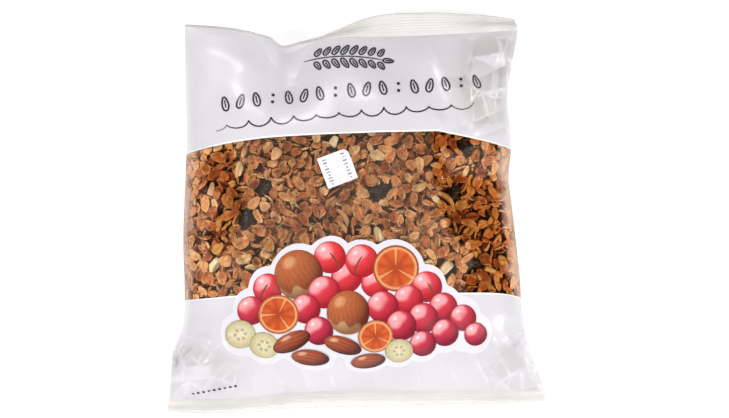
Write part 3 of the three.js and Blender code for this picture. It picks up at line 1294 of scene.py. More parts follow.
class FlakeKind(Enum):
    """How far a flake is toasted: its share of the flakes, then its light, middle and dark colour."""

    PALE = (0.13, (255, 224, 166), (244, 170, 102), (138, 72, 26))
    GOLDEN = (0.28, (255, 208, 146), (232, 148, 84), (120, 58, 20))
    TOASTED = (0.32, (255, 198, 134), (218, 129, 70), (104, 48, 17))
    RUSSET = (0.19, (252, 184, 120), (202, 108, 56), (92, 39, 14))
    DARK = (0.08, (232, 152, 90), (166, 82, 42), (70, 29, 11))

    def __init__(self, share: float, *tones: tuple[int, int, int]) -> None:
        """Keeps the share, and names the piece and its finish after the kind."""
        word = self.name.lower()
        self.share = share
        self.piece = f"flakes_{word}"
        self.oat = OatFinish(f"{word} flake", *(srgb(*tone) for tone in tones))


@dataclass(frozen=True)
class Nugget:
    """A raisin or a piece of nut that shows in the window, in millimetres and degrees.

    Attributes:
        x: Its place across.
        y: Its place along.
        length: Its longer side.
        width: Its shorter side.
        turn: Turn of its longer side from +X.
        bend: How far its ends curl aside.
        toasted: How brown it is, 0 to 1.
    """

    x: float
    y: float
    length: float
    width: float
    turn: float
    bend: float = 0.0
    toasted: float = 0.0


RAISINS = (
    Nugget(13.1, 9.2, 13.5, 8.8, 20),
    Nugget(-60.0, -5.0, 12.0, 8.0, 78),
    Nugget(-49.9, 10.5, 9.0, 7.5, 30),
    Nugget(55.0, 8.5, 10.5, 7.0, 80),
    Nugget(61.5, 34.0, 11.0, 7.5, 165),
    Nugget(66.0, -30.0, 9.5, 6.5, 20),
)
NUT_CHIPS = (
    Nugget(-12.5, 37.0, 8.5, 7.5, 60),
    Nugget(-79.2, -31.2, 9.5, 6.8, 50),
    Nugget(50.3, -33.0, 10.5, 9.4, 25, toasted=0.2),
    Nugget(74.0, -33.4, 9.5, 3.4, 175, toasted=0.1),
    Nugget(13.4, -15.8, 14.5, 5.0, 118, toasted=0.2),
    Nugget(-6.3, -5.0, 12.5, 4.0, 122, 2.2, toasted=0.65),
    Nugget(-80.9, 11.6, 10.0, 7.0, 75, toasted=0.45),
    Nugget(49.4, 5.8, 16.5, 4.2, 138, 1.9, toasted=0.5),
)


@dataclass
class Heap:
    """A flat map of the band round the bag, one cell a square millimetre, on which flakes settle.

    Attributes:
        columns: Its size round the bag, where it joins up with itself.
        rows: Its size along the bag.
        sink: How far a flake presses into what it lands on.
        steepest: The steepest that a flake may lean on what is under it.
        reach: How far from its middle a flake may reach, in cells.
        roomy: The largest share of a flake's cells that may be taken.
        height: Height of the heap at each cell.
        taken: Which cells are kept free of flakes.
        right: Steps to the right from a middle to each near cell.
        up: Steps up.
    """

    columns: int
    rows: int
    sink: float = 0.5
    steepest: float = 0.55
    reach: int = 7
    roomy: float = 0.08
    height: Array = field(init=False)
    taken: Array = field(init=False)
    right: Array = field(init=False)
    up: Array = field(init=False)

    def __post_init__(self) -> None:
        """Starts with an empty map."""
        self.height = np.zeros((self.rows, self.columns))
        self.taken = np.zeros((self.rows, self.columns), bool)
        cells = np.arange(-self.reach, self.reach + 1)
        self.right, self.up = (axis.ravel() for axis in np.meshgrid(cells, cells))

    def _cells(self, column: float, row: float, inside: Array) -> tuple[Array, Array]:
        """Rows and columns of the cells near a place that are inside a footprint."""
        rows = np.clip(round(row) + self.up[inside], 0, self.rows - 1)
        return rows, (round(column) + self.right[inside]) % self.columns

    def _oval(self, heading: float, length: float, width: float) -> Array:
        """How far out each near cell is in an oval: 0 at its middle, 1 at its rim."""
        along = self.right * math.cos(heading) + self.up * math.sin(heading)
        beside = self.up * math.cos(heading) - self.right * math.sin(heading)
        return (2 * along / length) ** 2 + (2 * beside / width) ** 2

    def take(self, column: float, row: float, heading: float, length: float, width: float) -> None:
        """Keeps an oval of the map free of flakes."""
        inside = self._oval(heading, length, width) < 1
        self.taken[self._cells(column, row, inside)] = True

    def low_place(self, rng: np.random.Generator, tries: int) -> tuple[int, int]:
        """The lowest of some random places, as a column and a row.

        Args:
            rng: The random draw.
            tries: How many places.

        Returns:
            The place.
        """
        columns = rng.integers(0, self.columns, tries)
        rows = rng.integers(2, self.rows - 2, tries)
        sides = ((0, 0), (2, 0), (-2, 0), (0, 2), (0, -2))
        heights = sum(self.height[rows + up, (columns + right) % self.columns] for right, up in sides)
        lowest = int(np.argmin(heights + 99 * self.taken[rows, columns]))
        return int(columns[lowest]), int(rows[lowest])

    def envelope(self, spread: float) -> Array:
        """The height of the heap without its small ups and downs.

        Args:
            spread: How wide an area each cell is evened over, in cells.

        Returns:
            One height a cell.
        """
        even = self.height
        steps = range(-round(2 * spread), round(2 * spread) + 1)
        weights = {step: math.exp(-((step / spread) ** 2)) for step in steps}
        for axis in (0, 1):
            cells = np.arange(even.shape[axis])
            total = np.zeros_like(even)
            for step, weight in weights.items():
                beside = (cells + step) % len(cells) if axis else np.clip(cells + step, 0, len(cells) - 1)
                total += weight * np.take(even, beside, axis)
            even = total / sum(weights.values())
        return even

    def settle(self, body: Array, column: int, row: int, heading: float) -> Array | None:
        """Lays a flake on the heap, leaning on what is under it.

        Args:
            body: The flake's points about its middle, with its length along the first axis.
            column: Where its middle is, round the bag.
            row: Where its middle is, along it.
            heading: Which way its length runs.

        Returns:
            Its points as column, row and height, or None where it finds no room.
        """
        length, width, thick = np.ptp(body, axis=0)
        oval = self._oval(heading, length, max(width, 2.5))
        inside = oval < 1
        cells = self._cells(column, row, inside)
        if self.taken[cells].mean() > self.roomy:
            return None
        under = self.height[cells]
        offsets = np.stack([np.ones(len(under)), self.right[inside], self.up[inside]], 1)
        weight = np.exp(1.2 * (under - under.max()))[:, None]
        slope = np.linalg.lstsq(offsets * weight, under * weight[:, 0], rcond=None)[0][1:]
        slope *= min(1.0, self.steepest / max(float(np.hypot(*slope)), 1e-6))
        lean = offsets[:, 1:] @ slope
        lift = float(np.percentile(under - lean, 92)) - self.sink
        crown = 0.5 * thick * (1 + (1 - oval[inside]) ** 0.4)
        self.height[cells] = np.maximum(under, lift + lean + crown)
        right, up = turned(body[:, 0], body[:, 1], heading)
        level = lift + body[:, 2] - body[:, 2].min() + right * slope[0] + up * slope[1]
        return np.stack([column + right, row + up, level], 1)


@dataclass
class GranolaFill:
    """What the window shows: settled flakes, crumbs, raisins and nut chips over a core coloured dark as
    painted shade.
    """

    shape: BagShape = field(default_factory=BagShape)
    flake_length: float = 8.9
    flake_width: float = 5.7
    flake_thickness: float = 1.5
    variants: int = 40
    bed: float = 6.0
    cover: float = 0.3
    core_depth: float = 4.6
    proud: float = 1.0
    cell: float = 1.5
    low_y: float = -57.0
    high_y: float = 49.0
    girth: float = 424.0
    crumbs: int = 700
    rng: np.random.Generator = field(default_factory=lambda: np.random.default_rng(SEED))
    chart: Array = field(init=False)
    level: Array = field(init=False)

    def __post_init__(self) -> None:
        """Lays out the flat map that the flakes settle on."""
        self.heap = Heap(round(self.girth), round(self.high_y - self.low_y))

    def surface(self, turn: Array, y: Array) -> tuple[Array, Array]:
        """Points of the film and its outward normals there.

        Args:
            turn: Turn round the bag, 0 to 2.
            y: Place along the bag.

        Returns:
            Points and normals.
        """
        step = 0.004
        around = self.shape.around
        here = around(turn, y)
        across = around(np.minimum(turn + step, 2.0), y) - around(np.maximum(turn - step, 0), y)
        along = around(turn, y + 1.0) - around(turn, y - 1.0)
        normal = np.cross(across, along)
        return here, normal / np.linalg.norm(normal, axis=1, keepdims=True)

    def _turn_at(self, x: float, y: float) -> Array:
        """The turn round the bag at a place on its front, as an array of one."""
        left, right = self.shape.sides(np.array([y]))
        table = self.shape.stops(TURN_STOPS)
        return np.interp(2 * (x - left) / (right - left) - 1, table, np.linspace(0, 1, len(table)))

    def _template(self, segments: int, rings: int) -> tuple[Array, Array]:
        """Points and triangles of a unit ball primitive.

        Args:
            segments: Faces round it.
            rings: Faces from pole to pole.

        Returns:
            One row each.
        """
        nothing_selected()
        bpy.ops.mesh.primitive_uv_sphere_add(segments=segments, ring_count=rings, radius=1.0)
        ball = bpy.context.object
        edit_all(ball, bpy.ops.mesh.quads_convert_to_tris)
        points = np.array([v.co for v in ball.data.vertices])
        faces = np.array([p.vertices for p in ball.data.polygons])
        bpy.data.objects.remove(ball, do_unlink=True)
        # The operator's order of faces changes from run to run, so they are put in a fixed one.
        lowest = faces.argmin(1)[:, None]
        faces = np.take_along_axis(faces, (lowest + np.arange(3)) % 3, 1)
        return points, faces[np.lexsort(faces.T)]

    def _flake(self, ball: Array, number: int) -> Array:
        """One flake's points from a unit ball: an uneven oval, creased along, cupped and bent.

        Args:
            ball: The ball's points.
            number: Its number: some flakes are broken across, some crumpled into a lump.

        Returns:
            The flake's points in millimetres.
        """
        rng = self.rng
        x, y, z = ball.T
        angle = np.arctan2(y, x)
        rim = 1 + 0.06 * np.sin(2 * angle + rng.uniform(0, 6)) + 0.06 * np.sin(3 * angle + rng.uniform(0, 6))
        rim = rim + 0.04 * np.sin(5 * angle + rng.uniform(0, 6))
        length = self.flake_length * rng.uniform(0.8, 1.16)
        width = self.flake_width * rng.uniform(0.78, 1.12)
        taper = rng.uniform(0.0, 0.28)
        px = 0.5 * length * x * rim
        py = 0.5 * width * y * rim * (1 - taper * x)
        thickness = self.flake_thickness * rng.uniform(0.75, 1.2)
        crumpled = number % 5 == 1
        if crumpled:
            px = px * 0.85
            thickness = thickness * 1.6
        if number % 8 == 2:
            edge = 0.16 * length * (1 + 0.5 * np.sin(2.2 * py + rng.uniform(0, 6)))
            px = np.minimum(px, edge + 0.15 * (px - edge))
        full = np.sign(z) * np.abs(z) ** 0.8
        off = np.hypot(x, y)
        crease = -rng.uniform(0.2, 0.85) * np.exp(-((y / 0.25) ** 2)) * (1 - np.abs(x) ** 3)
        roll = rng.uniform(0.0, 0.4) * np.exp(-(((off - 0.87) / 0.2) ** 2))
        cup = rng.uniform(-0.6, 0.9) * y**2
        bend = rng.uniform(-0.8, 0.8) * x**2 + rng.uniform(-0.6, 0.6) * x * y
        curl = rng.uniform(0, 6)
        curled = rng.uniform(0.0, 2.6) * np.maximum(x * math.cos(curl) + y * math.sin(curl) - 0.35, 0) ** 2
        rough = 0.65 if crumpled else 0.24
        waves = rough * np.sin(1.7 * px + rng.uniform(0, 6)) * np.sin(2.1 * py + rng.uniform(0, 6))
        return np.stack([px, py, 0.5 * thickness * full + crease + roll + cup + bend + curled + waves], 1)

    def _frames(self, normals: Array, most_tilt: Array) -> Array:
        """Random turns about each normal, tilted off it by up to most_tilt radians.

        Args:
            normals: One row each.
            most_tilt: The most tilt of each.

        Returns:
            One rotation a normal.
        """
        count = len(normals)
        tangent = np.cross(normals, self.rng.normal(size=(count, 3)))
        tangent /= np.linalg.norm(tangent, axis=1, keepdims=True)
        tilt = most_tilt * self.rng.uniform(0.15, 1, count)
        up = normals * np.cos(tilt)[:, None] + tangent * np.sin(tilt)[:, None]
        side = np.cross(up, self.rng.normal(size=(count, 3)))
        side /= np.linalg.norm(side, axis=1, keepdims=True)
        return np.stack([side, np.cross(up, side), up], 2)

    def _joined(self, name: str, points: Array, faces: Array, tone: Array, uv: Array | None) -> Piece:
        """One piece of many copies, each with its own tone.

        Args:
            name: The piece's name.
            points: Copies by vertices by 3.
            faces: The triangles of one copy.
            tone: One number a copy, 0 to 1.
            uv: The UV place of each vertex of one copy, or None.

        Returns:
            The piece.
        """
        count, each = points.shape[:2]
        all_faces = (faces[None] + (np.arange(count) * each)[:, None, None]).reshape(-1, 3)
        piece = mesh_from_arrays(name, points.reshape(-1, 3), all_faces)
        paint_vertices(piece, "tone", np.repeat(tone, each))
        if uv is not None:
            layer = piece.data.uv_layers.new(name="flake")
            layer.data.foreach_set("uv", np.tile(uv[faces.ravel()], (count, 1)).ravel())
        smooth(piece)
        return piece

    def _settled(self, shapes: list[Array]) -> Array:
        """Settles flakes on the heap until it is as deep as the bed.

        Args:
            shapes: The flakes to choose from.

        Returns:
            The flakes' points on the heap's map, each flake a row.
        """
        rng, heap = self.rng, self.heap
        for nugget in RAISINS + NUT_CHIPS:
            turn = float(self._turn_at(nugget.x, nugget.y)[0])
            place = (turn * 0.5 * self.girth, nugget.y - self.low_y)
            heap.take(*place, math.radians(nugget.turn), nugget.length, nugget.width)
        placed = []
        while heap.height.mean() < self.bed:
            body = shapes[rng.integers(0, len(shapes))] * rng.uniform(0.72, 1.08)
            steep = rng.random() < 0.24
            roll = rng.uniform(0.8, 1.35) if steep else rng.normal(0, 0.12)
            rolled = np.stack([body[:, 0], *turned(body[:, 1], body[:, 2], roll)], 1)
            laid = heap.settle(rolled, *heap.low_place(rng, 30), rng.uniform(0, math.tau))
            if laid is not None:
                placed.append(laid)
        return np.array(placed)

    def _chart(self) -> None:
        """Tabulates the film's inner face, so that many points are placed quickly."""
        columns = np.arange(0, self.girth + self.cell, self.cell)
        rows = np.arange(0, self.high_y - self.low_y + self.cell, self.cell)
        across, along = np.meshgrid(columns, rows)
        turns = (across.ravel() / self.girth * 2) % 2
        at, normals = self.surface(turns, self.low_y + along.ravel())
        self.chart = np.concatenate([at, normals], 1).reshape(len(rows), len(columns), 6)

    def _under_film(self, mapped: Array) -> Array:
        """Brings points from the heap's map to their places under the film.

        Args:
            mapped: Column, row and height, in the last axis.

        Returns:
            The points in the bag.
        """
        flat = mapped.reshape(-1, 3)
        cell = np.clip(flat[:, 1] / self.cell, 0, self.chart.shape[0] - 1.001)
        row, down = cell.astype(int), (cell % 1)[:, None]
        cell = (flat[:, 0] % self.girth) / self.cell
        column, over = cell.astype(int), (cell % 1)[:, None]
        low = self.chart[row, column] * (1 - over) + self.chart[row, column + 1] * over
        high = self.chart[row + 1, column] * (1 - over) + self.chart[row + 1, column + 1] * over
        found = low * (1 - down) + high * down
        rows = np.clip(np.round(flat[:, 1]), 0, self.heap.rows - 1).astype(int)
        even = self.level[rows, np.round(flat[:, 0]).astype(int) % self.heap.columns]
        round_side = 0.55 * (1 - np.abs(found[:, 5]))
        depth = np.maximum(even + self.proud - flat[:, 2], self.cover) + round_side
        points = found[:, :3] - found[:, 3:] * depth[:, None]
        points[:, 2] = np.maximum(points[:, 2], 0.15)
        return points.reshape(mapped.shape)

    def build_flakes(self) -> None:
        """Makes the flakes, in several degrees of toasting."""
        ball, faces = self._template(12, 6)
        shapes = [self._flake(ball, number) for number in range(self.variants)]
        uv = 0.5 + 0.5 * ball[:, :2]
        self._chart()
        mapped = self._settled(shapes)
        self.level = self.heap.envelope(6.0)
        points = self._under_film(mapped)
        log.info("%d flakes, relief %.2f mm", len(points), float(np.std(self.heap.height - self.level)))
        kinds = self.rng.choice(len(FlakeKind), len(points), p=[kind.share for kind in FlakeKind])
        for i, kind in enumerate(FlakeKind):
            chosen = points[kinds == i]
            piece = self._joined(kind.piece, chosen, faces, self.rng.uniform(0, 1, len(chosen)), uv)
            finish_piece(piece, kind.oat.make(), "granola", "bag")

    def _chip(self, ball: Array, cuts: int = 7) -> Array:
        """A ball cut to flat faces, as a chopped nut is.

        Args:
            ball: The ball's points.
            cuts: How many faces are cut.

        Returns:
            The nut's points.
        """
        planes = self.rng.normal(size=(cuts, 3))
        planes /= np.linalg.norm(planes, axis=1, keepdims=True)
        facing = np.maximum(ball @ planes.T, 1e-3)
        return ball * np.minimum(1, (self.rng.uniform(0.45, 0.8, cuts) / facing).min(1))[:, None]

    def build_crumbs(self) -> None:
        """Makes small broken bits that lie between the flakes."""
        ball, faces = self._template(8, 5)
        shapes = [self._chip(ball, 9) * np.array([1.0, 0.75, 0.5]) for _ in range(8)]
        mapped = []
        for _ in range(self.crumbs):
            bit = shapes[self.rng.integers(0, len(shapes))] * self.rng.uniform(0.5, 1.35)
            frame = self._frames(np.array([[0.0, 0.0, 1.0]]), np.array([1.2]))[0]
            column, row = self.heap.low_place(self.rng, 2)
            rest = self.heap.height[row, column] + 0.2
            mapped.append(bit @ frame.T + np.array([column, row, rest]))
        points = self._under_film(np.array(mapped))
        piece = self._joined("granola_crumbs", points, faces, self.rng.uniform(0, 1, len(points)), None)
        crumb = MottledFinish("crumb", srgb(118, 58, 22), srgb(222, 148, 80), 320, 0.12, (0.5, 0.75))
        finish_piece(piece, crumb.make(), "granola", "bag")

    def _raisin(self, ball: Array) -> Array:
        """A ball wrinkled all over by furrows.

        Args:
            ball: The ball's points.

        Returns:
            The raisin's points.
        """
        x, y, z = ball.T
        phases = self.rng.uniform(0, 6, 6)
        furrows = sum(
            np.abs(np.sin(k * x + phases[i] + 1.7 * y) * np.sin((k - 1) * y + 1.3 * z + phases[i + 3]))
            for i, k in enumerate((3.1, 4.3, 5.9))
        )
        return ball * (0.72 + 0.28 * furrows)[:, None]

    def _nuggets(
        self, name: str, nuggets: Sequence[Nugget], flat: float, make: Callable[[Array], Array]
    ) -> Piece:
        """Raisins or nut chips at their places, pressed against the film.

        Args:
            name: The piece's name.
            nuggets: Where they lie, and how large.
            flat: Thickness over width.
            make: Shapes a ball into one of them.

        Returns:
            The piece.
        """
        ball, faces = self._template(28, 16)
        points = []
        for nugget in nuggets:
            at, normals = self.surface(self._turn_at(nugget.x, nugget.y), np.array([nugget.y]))
            body = make(ball) * np.array([0.5 * nugget.length, 0.5 * nugget.width, 0.5 * flat * nugget.width])
            body[:, 1] += nugget.bend * ((body[:, 0] / (0.5 * nugget.length)) ** 2 - 0.4)
            lean = self.rng.uniform(-0.2, 0.2)
            normal = normals[0]
            heading = math.radians(nugget.turn)
            side = np.array([math.cos(heading), math.sin(heading), lean])
            side -= normal * side.dot(normal)
            side /= np.linalg.norm(side)
            rotation = np.stack([side, np.cross(normal, side), normal], 1)
            placed = body @ rotation.T
            points.append(placed + at[0] - normal * (self.cover + (placed @ normal).max()))
        toasted = np.array([nugget.toasted for nugget in nuggets])
        return self._joined(name, np.array(points), faces, toasted, None)

    def build_nuggets(self) -> None:
        """Makes the raisins and the nut chips that show in the window."""
        raisins = self._nuggets("raisins", RAISINS, 0.72, self._raisin)
        # The pale colour sits on the high places of the wrinkled skin: painted highlight there, with the
        # skin's own paler patches.
        black, glint = srgb(5, 3, 4), srgb(128, 100, 84)
        skin = MottledFinish("raisin skin", black, glint, 520, 1.8, (0.28, 0.5), 0.45, None, (0.46, 0.74))
        finish_piece(raisins, skin.make(), "raisins", "bag")
        chips = self._nuggets("nut_chips", NUT_CHIPS, 0.7, self._chip)
        cream, white, brown = srgb(255, 216, 152), srgb(255, 242, 202), srgb(226, 150, 84)
        nut = MottledFinish("chopped nut", cream, white, 210, 0.14, (0.5, 0.7), toasted=brown)
        finish_piece(chips, nut.make(), "nut_chips", "bag")

    def build_core(self) -> None:
        """Makes the uneven body of granola behind the flakes, shut at both ends, coloured dark as painted
        shade for the gaps.
        """
        columns, rows = 220, 58

        def place(u: Array, v: Array) -> Array:
            """Points of the core: u runs round it, v from end to end."""
            ends = smooth_step(np.abs(v - 0.5), 0.47, 0.5)
            y = self.low_y + (self.high_y - self.low_y) * np.clip((v - 0.03) / 0.94, 0, 1)
            at, normals = self.surface(np.minimum(2 * u, 1.9999), y)
            flat = u * self.girth
            lumps = CORE_LUMPS.at(flat, y) + 0.5 * facets(at[:, 0], at[:, 1], 7, SEED + 9)
            inside = at - normals * (self.core_depth + lumps)[:, None]
            middle = np.stack([np.zeros(len(y)), y, np.full(len(y), 0.5 * (self.shape.side_height + 24))], 1)
            placed = inside + (middle - inside) * ends[:, None]
            placed[:, 2] = np.maximum(placed[:, 2], 0.6)
            return placed

        core = grid_sheet("granola_shaded_core", columns, rows, place)
        weld(core, 0.05)
        smooth(core)
        # The core's dark colour is painted shade: it darkens the gaps between the flakes.
        shaded_core_finish = MottledFinish("granola depth", srgb(40, 17, 6), srgb(104, 52, 20), 240, 0.4, (0.55, 0.8))
        finish_piece(core, shaded_core_finish.make(), "granola", "bag")

    def build(self) -> None:
        """Makes everything in the window."""
        self.build_flakes()
        self.build_crumbs()
        self.build_nuggets()
        self.build_core()


# ---- Print and label ----


class Drape:
    """Finds the top of some pieces under a place, to lay thin sheets on them."""

    def __init__(self, pieces: Sequence[Piece]) -> None:
        """Gathers the faces of the pieces.

        Args:
            pieces: What the sheets are laid on.
        """
        points: list[Array] = []
        faces: list[list[int]] = []
        base = 0
        for piece in pieces:
            points.append(vertex_rows(piece) / MM)
            faces.extend([base + i for i in face.vertices] for face in piece.data.polygons)
            base += len(piece.data.vertices)
        self.tree = BVHTree.FromPolygons(np.concatenate(points).tolist(), faces)

    def lay(self, x: Array, y: Array, lift: float) -> Array:
        """Points on the surface, raised a little along its normal.

        Args:
            x: Places across, in millimetres.
            y: Places along.
            lift: How far above the surface.

        Returns:
            One point a row.
        """
        down = Vector((0, 0, -1))
        points = np.empty((len(x), 3))
        for i, (across, along) in enumerate(zip(x, y)):
            hit, normal, _, _ = self.tree.ray_cast(Vector((across, along, 90)), down)
            points[i] = hit + normal * math.copysign(lift, normal.z) if hit else (across, along, 0.5)
        return points


@dataclass
class Sheets:
    """Thin painted sheets gathered into one piece."""

    drape: Drape
    points: list[Array] = field(default_factory=list)
    faces: list[Array] = field(default_factory=list)
    colours: list[Array] = field(default_factory=list)
    base: int = 0

    def _keep(self, points: Array, faces: Array, colours: Array) -> None:
        """Adds one sheet.

        Args:
            points: Its points.
            faces: Its triangles.
            colours: One a point.
        """
        self.points.append(points)
        self.faces.append(faces + self.base)
        self.colours.append(colours)
        self.base += len(points)

    def blot(
        self,
        outline: Callable[[Array], Array],
        middle: tuple[float, float],
        rings: int,
        spokes: int,
        lift: float,
        paint: Callable[[Array, Array], Array],
    ) -> None:
        """Adds a round or lobed sheet.

        Args:
            outline: Offsets of its edge from its middle, two columns, from angles.
            middle: Its middle.
            rings: Steps from its middle to its edge.
            spokes: Steps round it.
            lift: Height above the film.
            paint: Colours from the share of the way to the edge, as u and v.
        """
        angles = np.linspace(0, 2 * math.pi, spokes, endpoint=False)
        edge = outline(angles)
        share = np.linspace(0, 1, rings + 1)[1:]
        unit = np.stack([np.cos(angles), np.sin(angles)], 1)
        offsets, places = (
            np.concatenate([[[0.0, 0.0]], (share[:, None, None] * ring[None]).reshape(-1, 2)])
            for ring in (edge, unit)
        )
        points = self.drape.lay(middle[0] + offsets[:, 0], middle[1] + offsets[:, 1], lift)
        k = np.arange(spokes)
        after = (k + 1) % spokes
        faces = [np.stack([np.zeros(spokes, int), 1 + k, 1 + after], 1)]
        for ring in range(rings - 1):
            inner, outer = 1 + ring * spokes, 1 + (ring + 1) * spokes
            faces.append(np.stack([inner + k, outer + k, outer + after], 1))
            faces.append(np.stack([inner + k, outer + after, inner + after], 1))
        self._keep(points, np.concatenate(faces), paint(places[:, 0], places[:, 1]))

    def stroke(self, line: Array, width: float, lift: float, colour: Colour, closed: bool = False) -> None:
        """Adds a ribbon along a line of places, thinning to its ends unless it is closed.

        Args:
            line: The places.
            width: Its width.
            lift: Height above the film.
            colour: Its colour.
            closed: True if it joins up with itself.
        """
        if closed:
            line = np.concatenate([line, line[:1]])
        along = np.gradient(line, axis=0)
        along /= np.maximum(np.linalg.norm(along, axis=1, keepdims=True), 1e-9)
        aside = np.stack([-along[:, 1], along[:, 0]], 1)
        share = np.linspace(0, 1, len(line))
        half = np.full(len(line), 0.5 * width)
        if not closed:
            half *= np.minimum(1, 0.35 + 5 * np.minimum(share, 1 - share))
        left, right = line + aside * half[:, None], line - aside * half[:, None]
        both = np.concatenate([left, right])
        points = self.drape.lay(both[:, 0], both[:, 1], lift)
        count = len(line)
        i = np.arange(count - 1)
        near, far = np.stack([i, count + i, count + i + 1], 1), np.stack([i, count + i + 1, i + 1], 1)
        faces = np.concatenate([near, far])
        self._keep(points, faces, np.tile(np.array(colour), (2 * count, 1)))

    def piece(self, name: str) -> Piece:
        """Joins the sheets into one piece with the attribute `ink`.

        Args:
            name: Its name.

        Returns:
            The piece.
        """
        made = mesh_from_arrays(name, np.concatenate(self.points), np.concatenate(self.faces))
        ink = made.data.attributes.new("ink", "FLOAT_COLOR", "POINT")
        ink.data.foreach_set("color", np.concatenate(self.colours).ravel())
        smooth(made)
        return made


class MotifKind(Enum):
    """What a motif of the front's still life shows."""

    CHERRY = "cherry"
    HAZELNUT = "hazelnut"
    ORANGE = "orange slice"
    BANANA = "banana slice"
    DATE = "date"


@dataclass(frozen=True)
class Motif:
    """One fruit or nut of the printed still life, in millimetres and degrees.

    Attributes:
        kind: What it shows.
        x: Its middle across.
        y: Its middle along.
        wide: Half its width.
        high: Half its height.
        turn: Its turn.
    """

    kind: MotifKind
    x: float
    y: float
    wide: float
    high: float
    turn: float = 0.0

    def outline(self, angles: Array, margin: float = 0.0) -> Array:
        """Offsets of its edge from its middle."""
        px, py = (self.wide + margin) * np.cos(angles), (self.high + margin) * np.sin(angles)
        return np.stack(turned(px, py, math.radians(self.turn)), 1)

    def paint(self, u: Array, v: Array) -> Array:
        """Its colours, shaded as a round thing lit from the upper left.

        Args:
            u: Places across, -1 to 1.
            v: Places up.

        Returns:
            One colour a place.
        """
        across, up = turned(u, v, math.radians(self.turn))
        r2 = np.minimum(1, u * u + v * v)
        facing = np.sqrt(1 - r2)
        light = np.clip(-0.42 * across + 0.5 * up + 0.76 * facing, 0, 1)
        # Each painter takes u, v, u * u + v * v and the light, and gives one colour a place.
        painters = {
            MotifKind.CHERRY: self._cherry,
            MotifKind.HAZELNUT: self._hazelnut,
            MotifKind.ORANGE: self._orange,
            MotifKind.BANANA: self._banana,
            MotifKind.DATE: self._date,
        }
        return painters[self.kind](u, v, r2, light)

    @staticmethod
    def _mix(a: Array, b: Array, share: Array) -> Array:
        """Blends two sets of colours."""
        share = np.clip(share, 0, 1)[:, None]
        return np.asarray(a) * (1 - share) + np.asarray(b) * share

    def _cherry(self, u: Array, v: Array, r2: Array, light: Array) -> Array:
        """Red to crimson, deeper low in the heap, with a pale bloom where the light falls."""
        low = min(1.0, max(0.0, (-self.y - 30) / 40))
        shade = self._mix(srgb(178, 20, 30), srgb(116, 10, 36), np.full(len(u), low))
        bright = self._mix(srgb(238, 66, 72), srgb(210, 44, 78), np.full(len(u), low))
        colour = self._mix(shade, bright, light * 1.2 - 0.1)
        bloom = 0.5 + 0.5 * np.sin(4 * u + self.x) * np.sin(5 * v + self.y)
        colour = self._mix(colour, srgb(250, 178, 180), smooth_step(light + 0.16 * bloom, 0.78, 1.05) * 0.85)
        colour = self._mix(colour, srgb(255, 236, 238), smooth_step(light, 0.985, 1.0) * 0.8)
        return self._mix(colour, srgb(120, 20, 50), smooth_step(r2, 0.8, 1.0) * (0.75 - 0.6 * light))

    def _hazelnut(self, u: Array, v: Array, r2: Array, light: Array) -> Array:
        """Brown and finely streaked, with a pale scar at its base."""
        colour = self._mix(srgb(92, 34, 16), srgb(178, 92, 50), light * 1.1)
        bulge = np.sqrt(np.maximum(0.04, 1 - v * v))
        streak = 0.5 + 0.5 * np.sin(26 * np.arcsin(np.clip(u / bulge, -1, 1)) + 3 * np.sin(5 * v))
        colour = self._mix(colour, srgb(206, 128, 80), streak * 0.3 * light)
        colour = self._mix(colour, srgb(236, 176, 130), smooth_step(light, 0.93, 1.0) * 0.6)
        scar = smooth_step(-v - 0.12 * np.sin(9 * u), 0.5, 0.58)
        return self._mix(colour, self._mix(srgb(140, 96, 62), srgb(214, 176, 130), light), scar)

    def _orange(self, u: Array, v: Array, r2: Array, light: Array) -> Array:
        """A dried slice: toasted rim, wedges with pale walls."""
        angle = np.arctan2(v, u)
        radius = np.sqrt(r2)
        wedge = np.abs(np.sin(4.5 * angle + 0.4))
        juicy = 0.35 + 0.65 * wedge * smooth_step(radius, 0.1, 0.6)
        wall = (1 - smooth_step(wedge, 0.06, 0.2)) * smooth_step(radius, 0.08, 0.2)
        flesh = self._mix(srgb(150, 46, 16), srgb(214, 92, 38), juicy)
        flesh = self._mix(flesh, srgb(232, 168, 104), wall)
        rim = smooth_step(radius, 0.8, 0.86)
        colour = self._mix(flesh, srgb(232, 176, 116), rim)
        return self._mix(colour, srgb(162, 52, 20), smooth_step(radius, 0.9, 0.95))

    def _banana(self, u: Array, v: Array, r2: Array, light: Array) -> Array:
        """A pale slice with a ring of seeds."""
        angle = np.arctan2(v, u)
        radius = np.sqrt(r2)
        colour = self._mix(srgb(226, 216, 180), srgb(196, 184, 140), smooth_step(radius, 0.2, 0.95))
        seeds = (0.5 + 0.5 * np.cos(6 * angle)) * np.exp(-(((radius - 0.34) / 0.1) ** 2))
        colour = self._mix(colour, srgb(120, 92, 52), seeds * 0.8)
        return self._mix(colour, srgb(164, 146, 92), smooth_step(radius, 0.9, 1.0))

    def _date(self, u: Array, v: Array, r2: Array, light: Array) -> Array:
        """Dark red-brown with long wrinkles."""
        colour = self._mix(srgb(70, 18, 8), srgb(158, 66, 36), light)
        furrow = 0.5 + 0.5 * np.sin(15 * v + 1.5 * np.sin(3 * u))
        colour = self._mix(colour, srgb(196, 112, 74), furrow * 0.45 * light)
        return self._mix(colour, srgb(232, 186, 152), smooth_step(light, 0.94, 1.0) * 0.7)


